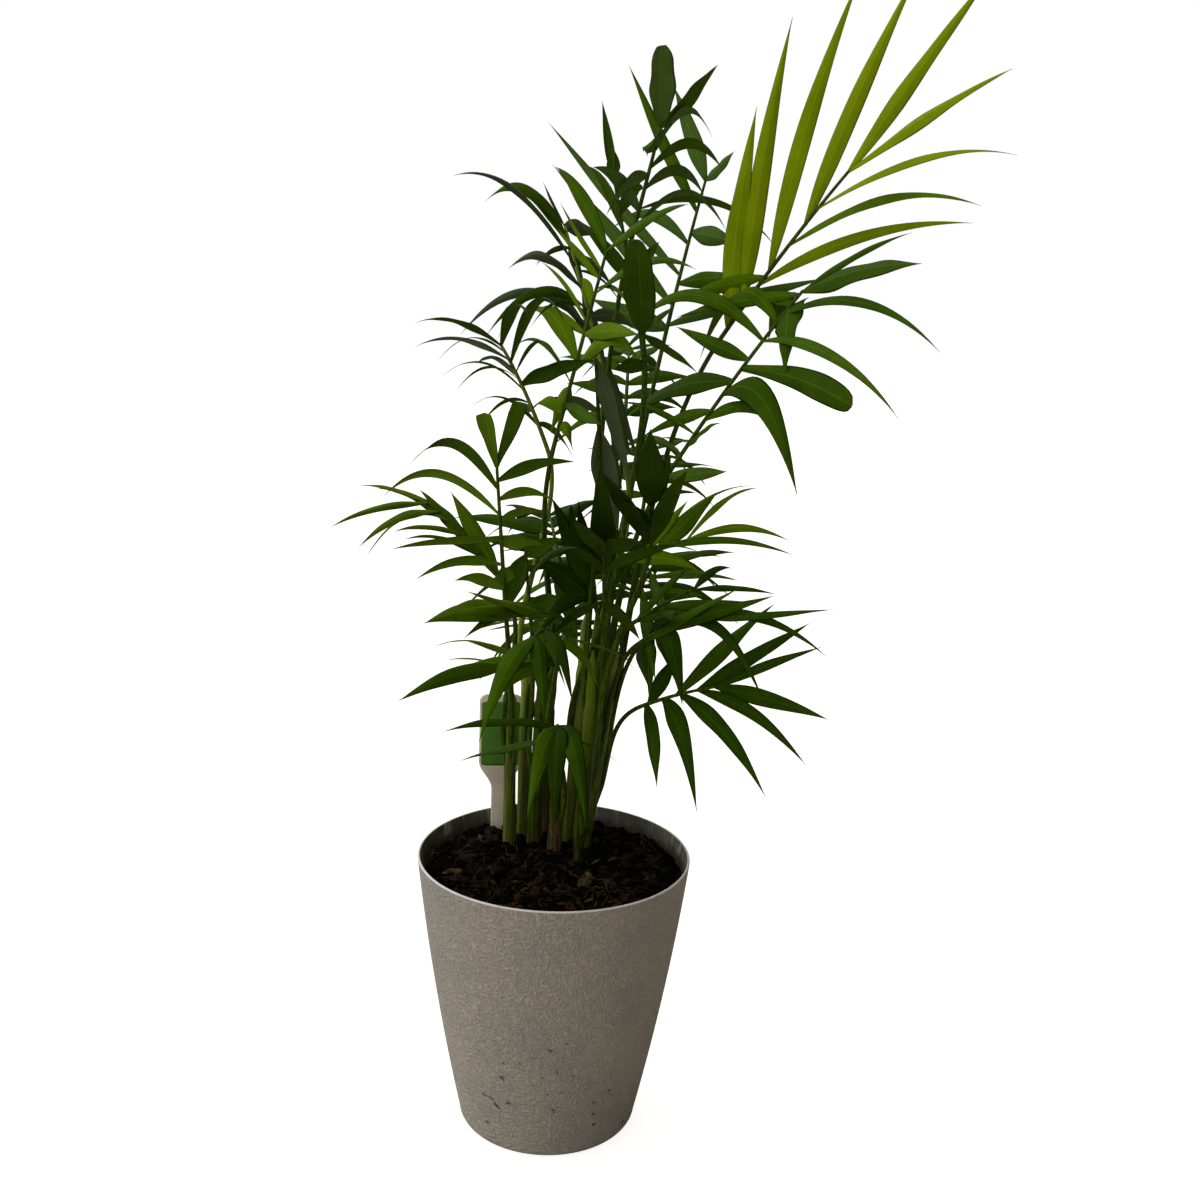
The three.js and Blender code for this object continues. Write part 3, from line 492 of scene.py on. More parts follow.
# Tangles: where hairs lie thick, x and y, and how many.
TANGLES = ((29, -29, 14), (33, -24, 9), (-5, -36, 9), (-30, -37, 8), (-58, 14, 8), (-17, -6, 7), (40, 40, 4))
loose_x, loose_y = scatter(70, HAIR_REACH, draw)
tangle_x = np.concatenate([loose_x] + [draw.normal(x, 4, n) for x, _, n in TANGLES])
tangle_y = np.concatenate([loose_y] + [draw.normal(y, 4, n) for _, y, n in TANGLES])
coir = compost("soil coir", (0.20, 0.135, 0.055, 1), (0.02, 0.012, 0.006, 1))
hair = add_piece("soil_fibres", fibres(tangle_x, tangle_y, draw), [coir])
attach(hair, "root")

# ---------------------------------------------------------------- label
# A blank plant label, die-cut from white plastic sheet: a head with rounded corners that narrows
# through a neck to a stake. A plain green panel covers the face of the head.
LABEL_X, LABEL_Y = -31, 49
LABEL_TURN = 4
LABEL_UP = 76
LABEL_SUNK, LABEL_RISE = 5, 0.8
LABEL_THICK = 1.2
LABEL_BOW = 0.9
HEAD, NECK = 40, 13
HEAD_WIDTH, STAKE_WIDTH = 23, 9
CORNER = 4
UP = np.array([0, 0, 1.0])


def label_half_width(h):
    """Half width at height h: stake, a smooth S through the neck, then the head.

    The head's top corners are quarter circles; 0.02 keeps the last ring from closing up.
    """
    t = np.clip((h - (LABEL_UP - HEAD - NECK)) / (NECK + 2), 0, 1)
    half = (STAKE_WIDTH + (HEAD_WIDTH - STAKE_WIDTH) * t * t * (3 - 2 * t)) / 2
    over = np.clip(h - (LABEL_UP - CORNER), 0, CORNER)
    return half - CORNER + np.sqrt(np.maximum(CORNER**2 - over**2, 0.02))


def bar_rings(height, half, front, back):
    """Rings (1, heights, 14, xyz) of an upright flat bar with round edges.

    A circle's points whose two halves are pulled apart until the section is half wide each way.
    """
    angle = np.radians([0, 30, 60, 90, 90, 120, 150, 180, 210, 240, 270, 270, 300, 330])
    hand = np.array([1, 1, 1, 1, -1, -1, -1, -1, -1, -1, -1, 1, 1, 1])
    deep = (back - front) / 2
    x = hand * (half[:, None] - deep) + deep * np.cos(angle)
    y = (front + back) / 2 + deep * np.sin(angle) + 0 * x
    return np.stack([x, y, height[:, None] + 0 * x], -1)[None]


def stand_label(rings):
    """Turns the label about its stake and stands it in the soil, bowed back by a parabola of its height."""
    foot = (LABEL_X, LABEL_Y, soil_level(LABEL_X, LABEL_Y) + LABEL_RISE)
    back = np.array([0, LABEL_BOW, 0]) * (np.clip(rings[..., 2:], 0, None) / LABEL_UP) ** 2
    return turned(rings + back, UP, np.radians(LABEL_TURN)) + foot


def printed_sheet(name, first, second, roughness):
    """Thin plastic sheet: its colour clouds slightly where it has picked up dust."""
    return clouded(name, first, second, 70.0, 0.0001, 0.3, Roughness=roughness)


shoulder = LABEL_UP - CORNER
height = np.linspace(-LABEL_SUNK, shoulder, 40)
height = np.concatenate([height, arc((0, shoulder), CORNER, 12, 90, 8)[:, 1]])
white = printed_sheet("label sheet", (0.78, 0.70, 0.56, 1), (0.64, 0.57, 0.45, 1), 0.45)
rings = bar_rings(height, label_half_width(height), -LABEL_THICK, 0)
label = add_piece("label_sheet", stand_label(rings), [white])
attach(label, "root")
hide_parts("plant_label")

PANEL_LOW, PANEL_HIGH = 36, 72
PANEL_CORNER = 1.5
PANEL_MARGIN, PANEL_PROUD = 1.2, 0.08
height = np.linspace(PANEL_LOW, PANEL_HIGH, 48)
to_end = np.minimum(height - PANEL_LOW, PANEL_HIGH - height)
corner = np.clip(PANEL_CORNER - to_end, 0, None)
half = HEAD_WIDTH / 2 - PANEL_MARGIN - PANEL_CORNER
half = half + np.sqrt(np.maximum(PANEL_CORNER**2 - corner**2, 0.02))
green = printed_sheet("label panel", (0.056, 0.205, 0.002, 1), (0.041, 0.158, 0.001, 1), 0.5)
rings = bar_rings(height, half, -LABEL_THICK - PANEL_PROUD, -LABEL_THICK + 0.05)
panel = add_piece("label_panel", stand_label(rings), [green])
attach(panel, "root")

# ---------------------------------------------------------------- canes
# Eleven slender green canes rise from the soil in one clump. Each is wrapped in the leaf bases of
# its fronds, sheath over sheath: a sheath ends in a slanting mouth where its frond's stalk leaves,
# and its fibres show as fine streaks. The lowest sheaths have dried to straw and brown.
# Each cane: foot (x, y), top (x, y, z), radius at foot and top, and how dry its foot is. The cane with
# a point has a foot that narrows into the soil.
CANES = {
    1: dict(foot=(-24, 26), top=(-24, 20, 227), radius=(3.3, 2.3), dry=0.35),
    2: dict(foot=(-17, 36), top=(-17, 32, 251), radius=(3.4, 2.3), dry=0.15),
    3: dict(foot=(-11, 24), top=(-9, 12, 236), radius=(3.4, 2.2), dry=0.3),
    4: dict(foot=(-5, 37), top=(-5, 34, 262), radius=(3.0, 2.3), dry=0.9),
    5: dict(foot=(0, 15), top=(0, 0, 205), radius=(3.3, 2.2), dry=1.0),
    6: dict(foot=(7, 27), top=(13, 18, 271), radius=(3.4, 2.5), dry=0.3),
    7: dict(foot=(12, 4), top=(16, -14, 259), radius=(3.8, 2.2), dry=0.25, point=True),
    8: dict(foot=(14.5, 19), top=(27.5, 6, 259), radius=(3.6, 2.8), dry=0.3),
    9: dict(foot=(15, 36), top=(23.5, 35, 186), radius=(2.2, 1.6), dry=0.5),
    10: dict(foot=(8, 42), top=(21, 46, 270), radius=(3.2, 2.3), dry=0.3),
    11: dict(foot=(12, 51), top=(24, 58, 262), radius=(3.0, 2.2), dry=0.4),
}
FOOT_RISE = 0.55
CANE_BEND = 1.0
CANE_SIDES = 28
MOUTH_SLANT = 9
SHEATH_LIP, LIP_FADE = 0.32, 26
FIBRE_RIDGES, FIBRE_HEIGHT = 9, 0.07
# The swelling over the soil: how much, from what height, and how fast it dies away.
SWELL, SWELL_UP, SWELL_FADE = 0.5, 6, 7
TOP_NARROWS = 0.72
POINTED = 0.45
# Dryness is full up to DRY_UP above the soil and dies away over DRY_FADE, in patches over PATCH_FADE.
DRY_UP, DRY_FADE, PATCH_FADE = 8, 16, 40
# The other canes, inside the clump, get the dark sheath: partly their own darker green and partly painted
# shade.
LIT_CANES = (1, 2, 6, 8)
# Heights (metres) over which the sheaths grow pale, upwards.
PALE_ABOVE = (0.185, 0.245)

# Fronds. The bare stalk leaves its cane at height leaves, on the side that side degrees faces (0 is
# +X), and its radius there is stout. The rib with the leaflets runs from knee to tip and stands bow
# above its chord. roll turns the blade about the rib, lift raises the leaflets from the blade's
# plane, turn twists them and sweep bends them forward, left then right. first is where the first
# leaflet of each side sits along the rib, and crowd bunches them towards its foot. A leaflet is
# (length, angle from the rib, sag, width), and a fifth number tips it clear of its neighbours; None
# is one that was shed. extra leaflets start with their place along the rib and their hand (1 is left,
# -1 right), and an eighth number is 1 for one with a rounded end, 2 for a wedge, 3 for one cut square
# and 4 for an oval. pairs is (count, length, first angle, last angle, sag, width), for fronds whose
# leaflets are worked out. tone is the frond's green, and PLAIN is what a frond doesn't say.
# A frond's tone is partly its own green and partly painted light and shade: darker tones for fronds inside
# and low in the crown, brighter ones for fronds lit from behind, and grey for a painted sheen.
PLAIN = dict(
    tone="middle", bow=0, roll=0, lift=0, turn=(0, 0), sweep=(0, 0),
    first=(0.05, 0.05), crowd=(1, 1), left=(), right=(), extra=(),
)
FRONDS = {
    "high_right": dict(cane=8, leaves=235, side=35, stout=1.9, tone="lit", knee=(72, 0, 411),
        tip=(123, -20, 487), bow=2, roll=80, turn=(0, 50), sweep=(0.3, 0), first=(0.05, 0.3),
        crowd=(1.5, 1),
        left=((90, 35, 0, 13), (118, 33, 0.1, 10.5), (133, 27, 0.6, 9.5), (113, 20, 0.3, 9.5),
            (90, 6, 0, 8.5)),
        right=(None, (105, 19, 0.9, 7), (105, 18, 0.8, 11), (86, 13, 0.3, 10)),
        extra=((0.35, 1, 48, 136, 0.4, 7.5, 4), (0.3, 1, 104, -21, 0.9, 6, 16))),
    "dark_right": dict(cane=8, leaves=232, side=-120, stout=2.1, tone="rich", knee=(45, -20, 342),
        tip=(101, -50, 434), bow=3, roll=45, lift=12, first=(0.37, 0.05), crowd=(0.8, 1),
        left=((51, 132, 0.3, 7), (81, 124, 0.5, 12), (60, 109, 0, 8), (143, 90, 1.4, 8, 8),
            (88, 78, 2.3, 9, 8), (32, 75, 3, 11), (62, -18, 0.4, 5)),
        right=((81, 61, 0, 9), (31, 11, 0.9, 8), None, (70, 37, 2.2, 14), None, (132, 59, 0.6, 5.5),
            (121, 46, 0.8, 5), (93, 51, 0.2, 13)),
        extra=((0.90, -1, 30, 100, 0.8, 23, 1, 2), (0.15, 1, 129, 103, 0.6, 4.5, -17),
            (0.25, 1, 73, 100, 0.4, 3.5, 1), (0.59, -1, 89, 63, 0.2, 12.5, -12, 1),
            (0.32, 1, 51, -23, 1.3, 7, 0), (0.98, 1, 78, 129, 0.2, 7.5, 4))),
    "top_front": dict(cane=6, leaves=245, side=-75, stout=1.5, tone="cool", knee=(27, -20, 456),
        tip=(37, -30, 502), lift=15, first=(0.05, 0.22), crowd=(1, 0.8),
        left=((91, 50, 1.6, 4), (149, 79, 0.7, 4), (58, 50, 1.7, 7), (68, 55, 1.3, 6), (62, 29, 2.4, 5),
            (50, 52, 0.1, 11)),
        right=((46, 46, 0.9, 7.5), (22, 88, 1.9, 7.5), (13, 42, 2.2, 11), None),
        extra=((1, -1, 35, 18, 0.1, 15, 0, 4),)),
    "top_back": dict(cane=10, leaves=245, side=20, stout=1.6, tone="cool", knee=(48, 40, 410),
        tip=(66, 60, 486), bow=2, lift=15, first=(0.03, 0.05), crowd=(1.2, 1.2),
        left=((47, 78, 0, 12), (109, 53, 0, 8), (121, 53, 0, 6.5), (81, 51, 1.6, 7), (96, 39, 0, 7),
            (60, 33, 0.1, 10)),
        right=((97, 73, 0.1, 8.5, -8), (50, 82, 0.3, 9), (37, 100, 0.1, 11), (22, 50, 0.1, 9)),
        extra=((0.15, 1, 33, 132, 0.4, 4, -3),)),
    "spear": dict(cane=10, leaves=255, side=-70, stout=1.7, tone="deep", knee=(33, 0, 413),
        tip=(18, 0, 482), roll=85, first=(0.3, 0.3), crowd=(0.6, 1),
        left=((29, 37, 0.7, 7), (31, 34, 2, 7), (14, 7, 0.1, 7)),
        right=((43, 22, 0.7, 7.5), (49, 8, 1.3, 5), (34, -1, 0, 5))),
    "centre_high": dict(cane=7, leaves=245, side=10, stout=1.6, tone="shade", knee=(33, -60, 400),
        tip=(31, -75, 414),
        left=((27, 118, 0.6, 8),),
        right=((14, 83, 0.6, 10), None),
        extra=((1, 1, 59, 0, 0.1, 14.5, 0, 4),)),
    "left_arch": dict(cane=2, leaves=248, side=-175, stout=1.6, tone="dull", knee=(-9, -10, 356),
        tip=(-30, -50, 406), bow=3, lift=10, first=(0.22, 0.18), crowd=(0.7, 1),
        left=((19, 90, 1.9, 7), (54, 58, 0.5, 10.5), (130, 31, 1.2, 5), (85, 31, 1.1, 6)),
        right=((57, 21, 1.6, 4), (14, 68, 1.2, 7.5), (61, 25, 1.6, 4), (36, 11, 1.4, 8.5), (51, 45, 1.1, 6),
            (49, 33, 1, 6)),
        extra=((0.9, 1, 47, -16, 1.5, 2.2), (0.62, -1, 54, 85, 1.3, 2.2, 22), (0.7, 1, 78, 35, 1.5, 2.2, 4),
            (0.4, -1, 32, 78, 1.7, 2.6, 10))),
    "upper_left": dict(cane=6, leaves=240, side=-5, stout=2.4, tone="grey", knee=(29, 0, 346),
        tip=(-4, 30, 460), bow=3, lift=15, first=(0.45, 0.6), crowd=(1, 0.7),
        left=((109, 26, 2.6, 7.5), (109, 56, 1.4, 7), (106, 75, 1, 6, 8), (64, 48, 1.4, 9),
            (113, 36, 1.3, 5), (85, 29, 1.9, 10), (25, 23, 0.2, 5)),
        right=((33, 81, 0.9, 8), (25, 90, 1.3, 6.5), (21, 91, 0.5, 9.5)),
        extra=((0.42, -1, 48, 175, 0, 10), (0.7, -1, 40, 176, 0.5, 8.5), (0.93, -1, 29, 172, 1.2, 7),
            (0.8, -1, 33, 90, 1.4, 2.4, -4), (0.6, 1, 80, 74, 1, 2.4, 13), (0.9, 1, 30, 88, 0.8, 3, -5),
            (0.97, 1, 32, 53, 0.4, 2.4), (0.5, -1, 60, 172, 0.2, 7, 6), (0.25, 1, 46, 168, 0.1, 7))),
    "upper_front": dict(cane=4, leaves=245, side=-90, stout=1.8, tone="fresh", knee=(-5, -45, 365),
        tip=(15, -40, 448), roll=20, lift=15, first=(0.13, 0.05), crowd=(1, 1.2),
        left=((32, 54, 1.7, 6.5), (14, 149, 2, 8.5), (68, 42, 1.5, 9.5), (49, 73, 0.4, 6, -8),
            (23, 34, 1.1, 6), (37, 61, 0, 4), (72, 43, 0.8, 7.5)),
        right=((19, 44, 2.9, 6), (50, 93, 0, 7.5), (70, 40, 1.6, 9.5), (62, 83, 0.1, 8.5), (95, 64, 0.6, 5),
            (77, 63, 0.4, 6)),
        extra=((0.3, 1, 76, 50, 1.5, 2.2, -3), (0.62, 1, 53, 52, 0.5, 2.6, -3),
            (0.9, 1, 43, 59, -0.2, 3, -6), (0.8, -1, 42, 69, 1.4, 2.2, -4))),
    "left_fishtail": dict(cane=1, leaves=210, side=-90, stout=1.6, knee=(-27, -35, 292),
        tip=(-31, -50, 354), lift=8, first=(0.08, 0.02), crowd=(0.7, 1),
        left=((18, 20, 2, 9.5), (22, 68, 0.7, 9.5), (28, 55, 0.9, 5), (32, 59, 1.1, 5.5),
            (43, 59, 0.6, 6.5), None),
        right=((29, 60, 1, 7.5), (46, 84, 0.8, 5.5), (59, 94, 0.3, 5), (95, 63, 1.3, 5.5, 25),
            (75, 32, 2.1, 6.5), None),
        extra=((0.98, -1, 26, 10, 0.1, 9, 0, 3), (0.98, 1, 36, 21, 0.3, 7.5, 0, 3))),
    "left_far": dict(cane=1, leaves=205, side=-165, stout=1.5, tone="fresh", knee=(-30, 0, 289),
        tip=(-67, 10, 325), bow=3, roll=-8, lift=10, first=(0.2, 0.05), crowd=(0.7, 1.3),
        left=((59, 35, 0.9, 5), (52, 54, 0.6, 4), (53, 26, 2.1, 7), (66, 71, 0.7, 6), (79, 73, 0.4, 5)),
        right=((53, 14, 0.2, 12), (51, 3, 0.4, 11), (58, 0, 0.9, 7.5), (40, -12, 0.6, 5))),
    "left_middle": dict(cane=2, leaves=215, side=-80, stout=1.5, tone="fresh", knee=(-2, -40, 282),
        tip=(-18, -80, 293), bow=1, roll=-45, first=(0.08, 0.05), crowd=(1, 1.1),
        left=((103, 1, 0, 9.5), (64, -12, 0.3, 11)),
        right=((98, 2, 0.5, 8.5), (93, 8, 0.4, 11), (76, 10, 0.3, 12))),
    "left_low": dict(cane=3, leaves=224, side=-90, stout=1.5, tone="fresh", knee=(-5, -20, 253),
        tip=(-25, -55, 261), bow=1, roll=-20, turn=(-40, 0), first=(0.05, 0.08),
        left=((56, 2, 0.8, 8.5), (71, -8, 0.3, 8.5)),
        right=((47, 37, 0.2, 7.5), (68, 97, 0.8, 6), (30, 64, 0.6, 3)),
        extra=((0.3, -1, 57, 12, 0.4, 8, 5),)),
    "front_left": dict(cane=3, leaves=190, side=-60, stout=1.5, tone="middle", knee=(-2, -45, 271),
        tip=(-11, -105, 289), bow=4, lift=5, first=(0.13, 0.13), crowd=(0.9, 1),
        left=((40, 105, 0.6, 5), (46, 25, 1.4, 8.5), (39, 17, 1.5, 8)),
        right=(None, (61, 10, 1, 9.5)),
        extra=((0.1, 1, 32, 142, 1.5, 6.5, 10),)),
    "front_low": dict(cane=5, leaves=175, side=-30, stout=1.5, tone="low", knee=(-1, -50, 223),
        tip=(0, -100, 247.5), bow=4, lift=5, turn=(20, 40), first=(0.2, 0.13),
        left=((40, 127, 0.5, 5), (82, 8, 1.3, 10.5), (44, -2, 1.8, 10)),
        right=((55, 122, 0.3, 11), (67, 47, 0.4, 8.5), (43, 17, 1.6, 9.5))),
    "right_fan": dict(cane=9, leaves=174, side=-15, stout=1.3, tone="deep", knee=(42, 0, 227),
        tip=(76, -20, 244), bow=1, roll=60, first=(0.09, 0.05), crowd=(0.8, 1),
        left=((31, 47, 0.1, 10), (76, 36, 0.4, 11.5), (67, 19, 0, 9), (59, 14, 0.1, 6)),
        right=((37, 85, 0.6, 11), (33, 52, 2.4, 12), (61, 39, 0.8, 9.5), (65, 23, 0.7, 7),
            (63, 17, 0.2, 9))),
    "right_middle": dict(cane=8, leaves=215, side=-75, stout=1.3, tone="deep", knee=(37, -10, 261),
        tip=(59, -30, 281), bow=1, roll=55, first=(0.04, 0.2), crowd=(1.3, 0.9),
        left=((74, -7, 0, 7.5), (81, -13, 0, 7.5), (95, -17, 0, 5)),
        right=((19, 77, 2.1, 9.5), (22, 33, 3.1, 11), (65, 7, 1.8, 6), (90, 8, 0.8, 6))),
    "right_upper": dict(cane=8, leaves=241, side=170, stout=1.5, tone="fresh", knee=(32, -20, 305),
        tip=(57, -35, 319), bow=1, roll=60, first=(0.08, 0.05), crowd=(1.2, 0.9),
        left=((39, 25, 0, 8.5), (40, 27, 0.1, 11), (59, 46, 1.1, 5)),
        right=((40, 15, 0.6, 8.5), (73, 7, 0.5, 4), (56, -10, 0.8, 5)),
        extra=((0.2, 1, 90, 36, 1.1, 3.5, -11),)),
    "right_inner": dict(cane=8, leaves=195, side=-100, stout=1.4, tone="deep", knee=(36, -10, 273),
        tip=(64, -10, 290), bow=1, roll=40, first=(0.02, 0.02), crowd=(1, 1.2),
        left=((52, 24, 0.6, 6), (35, 35, 1.1, 5)),
        right=((43, 14, 0.7, 7.5), (48, 32, 0, 6), (42, 18, 0.4, 4))),
    "centre_front": dict(cane=7, leaves=225, side=-20, stout=1.7, tone="dark", knee=(39, -60, 321),
        tip=(36, -95, 345),
        left=((106, 8, 0.3, 9), (51, 9, 0.1, 9)),
        right=((102, 11, 0.3, 10), (36, 19, 0.3, 11), (73, 0, 0.1, 13)),
        extra=((0.3, -1, 55, 159, 0.5, 6.5, 3),)),
    "centre_near": dict(cane=6, leaves=210, side=-150, stout=1.6, tone="shade", knee=(20, -35, 287),
        tip=(17, -80, 320), bow=3,
        left=((23, 130, 1, 9), (96, 25, 0.6, 11), (88, 12, 0.4, 12)),
        right=((32, 107, 1, 8, -8), (104, 15, 1, 10), (108, 4, 0.3, 11)),
        extra=((0.6, 1, 98, 0, -0.1, 12), (0.3, 1, 30, 71, 1.6, 5, 5))),
    "centre_hanging": dict(cane=7, leaves=240, side=170, stout=1.3, tone="grey", knee=(15, -20, 366),
        tip=(12, -38, 401), first=(0.02, 0.05),
        left=((56, 172, 0.2, 14), (55, 164, 0.8, 9)),
        extra=((0.3, -1, 26, 56, 0.6, 6),)),
    "centre_broad": dict(cane=6, leaves=230, side=-30, stout=1.3, tone="dark", knee=(18, -9, 272),
        tip=(15, -6, 295), first=(0.4, 0.1),
        left=((49, 42, 0.6, 13, -8), (55, 24, 0.2, 15), (39, 8, 0.1, 12)),
        right=((47, 46, 0.8, 12),),
        extra=((0.2, -1, 53, -12, -0.2, 7.5, 0, 1), (0.6, 1, 35, 73, 1.6, 9, -7))),
    "right_low": dict(cane=8, leaves=184, side=15, stout=1.3, tone="shade", knee=(38, 2, 256),
        tip=(47, -8, 269), bow=1, first=(0.3, 0.3),
        left=((41, 136, 0.9, 12), (79, 126, 0.9, 12)),
        right=((37, -10, 0.5, 11), (83, 34, 0.6, 12, 8))),
    "left_inner": dict(cane=3, leaves=200, side=-180, stout=1.3, tone="shade", knee=(-14, -2, 260),
        tip=(-18, -14, 305), first=(0.3, 0.3),
        left=((28, 38, 0.8, 12), (26, 50, 0.3, 10, -8)),
        right=((32, 68, 0.6, 11), (30, 152, 0.9, 11)),
        extra=((0.5, 1, 27, 104, 1.6, 9, 8), (0.2, 1, 21, 91, 2.7, 9, -11))),
    "inner_left": dict(cane=4, leaves=215, side=-175, stout=1.4, tone="shade", knee=(-2, 20, 292),
        tip=(-8, 62, 312), bow=3, lift=5,
        pairs=(4, 55, 75, 25, 0.8, 12),
        extra=((0.2, -1, 68, 177, -0.2, 9.5),)),
    "inner_right": dict(cane=11, leaves=225, side=-60, stout=1.4, knee=(38, 30, 275), tip=(54, 72, 290),
        bow=3, lift=5,
        pairs=(4, 55, 75, 25, 0.8, 12),
        extra=((0.2, -1, 99, 158, -0.2, 7.5, 9), (0.5, -1, 70, 155, -0.1, 6.5, 4))),
    "back_middle": dict(cane=4, leaves=225, side=60, stout=1.5, knee=(14, 80, 273), tip=(16, 150, 283),
        bow=5, lift=5,
        pairs=(5, 60, 75, 22, 0.9, 12)),
    "back_right": dict(cane=11, leaves=235, side=20, stout=1.5, knee=(42, 60, 322), tip=(50, 125, 347),
        bow=5, lift=5,
        pairs=(4, 45, 72, 22, 0.9, 12)),
    "back_low": dict(cane=2, leaves=195, side=80, stout=1.4, knee=(2, 75, 241), tip=(-6, 140, 235), bow=5,
        lift=5,
        pairs=(4, 55, 72, 22, 0.9, 12)),
    "back_high": dict(cane=11, leaves=259, side=110, stout=1.5, knee=(30, 55, 365), tip=(33, 110, 398),
        bow=5, lift=5,
        pairs=(4, 45, 70, 22, 0.9, 12)),
}
FRONDS = {name: PLAIN | frond for name, frond in FRONDS.items()}


def cane_path(cane, u):
    """Points (u, xyz) on a cane's axis.

    The straight line from foot to top, bowed out from the pot's centre by the parabola 4 u (1 - u).
    """
    x, y = cane["foot"]
    foot = np.array([x, y, soil_level(x, y) + FOOT_RISE])
    outward = np.array([x, y, 0]) / np.hypot(x, y)
    u = np.asarray(u, float)[..., None]
    return foot + (np.array(cane["top"], float) - foot) * u + outward * CANE_BEND * 4 * u * (1 - u)


def cane_radius(cane, u):
    """Straight taper from foot to top."""
    return cane["radius"][0] + (cane["radius"][1] - cane["radius"][0]) * u


def smooth(x, low, high):
    """0 below low and 1 above high, with an S between."""
    t = np.clip((x - low) / (high - low), 0, 1)
    return t * t * (3 - 2 * t)


def cane_rings(number, cane):
    """A cane's skin (1, rings, sides, xyz), and how dry each point is, from 0 to 1.

    The radius is the taper, plus low ridges of fibre, plus for each frond a lip that ends at the
    slanting mouth of its sheath and dies away below it, plus a swelling that dies away above the soil.
    The last stretch narrows to the youngest leaf. Dryness dies away upwards, in patches.
    """
    u = np.concatenate([np.linspace(-0.04, 0.9, 100), np.linspace(0.91, 1.0, 16)])
    path = cane_path(cane, u)[None]
    angle = np.linspace(0, 2 * np.pi, CANE_SIDES, endpoint=False)
    height = path[0, :, 2, None]
    up = height - height[0]
    radius = cane_radius(cane, u)[:, None] + FIBRE_HEIGHT * np.cos(FIBRE_RIDGES * angle + number)
    for frond in FRONDS.values():
        if frond["cane"] == number:
            # angle 0 of a tube's circle faces about +X, and its angles run the other way round from side
            facing = np.cos(angle + np.radians(frond["side"]))
            below = frond["leaves"] - 2 - MOUTH_SLANT * (1 - facing) / 2 - height
            fade = np.exp(-np.clip(below, 0, None) / LIP_FADE)
            radius = radius + SHEATH_LIP * smooth(below, 0, 1.1) * fade
    radius = radius + SWELL * np.exp(-np.clip(up - SWELL_UP, 0, None) / SWELL_FADE)
    radius = radius * (1 - TOP_NARROWS * smooth(u, 0.93, 1.0))[:, None]
    if cane.get("point"):
        radius = radius * (POINTED + (1 - POINTED) * smooth(up, 3, 26))
    above = up - DRY_UP
    draw = np.random.default_rng(100 + number)
    patches = 0.5 + 0.5 * np.sin(3 * angle + draw.uniform(0, 6)) * np.sin(height / 9 + draw.uniform(0, 6))
    dry = np.exp(-np.clip(above, 0, None) / DRY_FADE) + 0.3 * patches * np.exp(-above / PATCH_FADE)
    return tubes(path, radius[None], CANE_SIDES), np.clip(cane["dry"] * dry, 0, 1)[None]


# Fine streaks along a green stem, used by the canes and by the stalks.
stem_fibres, given, result = new_group(
    "stem fibres",
    {"Vector": "", "Colour": (0.1, 0.15, 0.03, 1.0), "Streak Colour": (0.05, 0.08, 0.02, 1.0)},
    {"Colour": "NodeSocketColor", "Height": "NodeSocketFloat"},
)
streak = ramp(stem_fibres, stretched(stem_fibres, given["Vector"], (900, 900, 16), 3.0), 0.36, 0.66)
streaked = blend_colours(stem_fibres, streak, given["Streak Colour"], given["Colour"])
cloud = ramp(stem_fibres, noise(stem_fibres, given["Vector"], 45.0, 2.0)[0], 0.35, 0.75, 0.0, 0.5)
stem_fibres.links.new(blend_colours(stem_fibres, cloud, streaked, given["Streak Colour"]), result["Colour"])
stem_fibres.links.new(streak, result["Height"])


def stem_finish(name, green, streak, sheathed=False):
    """Waxy green with fine streaks, smoother on a bare stalk.

    A cane's sheaths are paler towards the top, and turn to straw and brown where the attribute dry
    says so.
    """
    material, tree, here = new_finish(name, Roughness=0.45, Specular_IOR_Level=0.06)
    skin = place_group(tree, stem_fibres, Vector=here, Colour=green, Streak_Colour=streak)
    if not sheathed:
        return dress(material, skin["Colour"], skin["Height"], 0.0001, 0.5)
    up = add(tree, "ShaderNodeSeparateXYZ", {0: here}).outputs[2]
    pale = tuple(2.2 * c for c in green)
    colour = blend_colours(tree, ramp(tree, up, *PALE_ABOVE, 0.0, 0.9), skin["Colour"], pale)
    dry = add(tree, "ShaderNodeAttribute", attribute_name="dry").outputs["Fac"]
    husk = blend_colours(tree, skin["Height"], (0.040, 0.022, 0.010, 1), (0.150, 0.100, 0.038, 1))
    colour = blend_colours(tree, ramp(tree, dry, 0.18, 0.75), colour, husk)
    return dress(material, colour, skin["Height"], 0.0002, 0.6)


# Lit and shaded copies of the sheath: the dark one is partly the inner canes' own green and partly painted
# shade.
light = stem_finish("cane lit sheath", (0.132, 0.162, 0.026, 1), (0.060, 0.082, 0.010, 1), sheathed=True)
dark = stem_finish("cane dark and shaded sheath", (0.050, 0.078, 0.004, 1), (0.015, 0.028, 0.001, 1), sheathed=True)
for number, cane in CANES.items():
    skin, dry = cane_rings(number, cane)
    sheath = light if number in LIT_CANES else dark
    piece = add_piece(f"cane_{number}_sheathed", skin, [sheath], dry=dry)
    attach(piece, "root")
    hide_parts(f"cane_{number}")

# ---------------------------------------------------------------- stalks and ribs
# A frond's leaf base runs up its cane, comes away from it as a bare green stalk and goes on as the
# rib that carries the leaflets. It is one fleshy piece, thickest at its foot.
# A stalk stands STALK_GAP off its cane, its base runs RUN_DOWN below that place, and its foot is
# FOOT_SHARE times as stout. PULL is how far the curve keeps to its end directions.
STALK_SIDES = 10
STALK_GAP = 0.45
RUN_DOWN = 30
FOOT_SHARE = 1.12
KNEE_RADIUS = 1.1
TIP_RADIUS = 0.7
PULL = 0.9
# Two upper-left fronds have a brighter stalk: painted light on their lit side.
LIT_STALKS = ("upper_left", "left_arch")


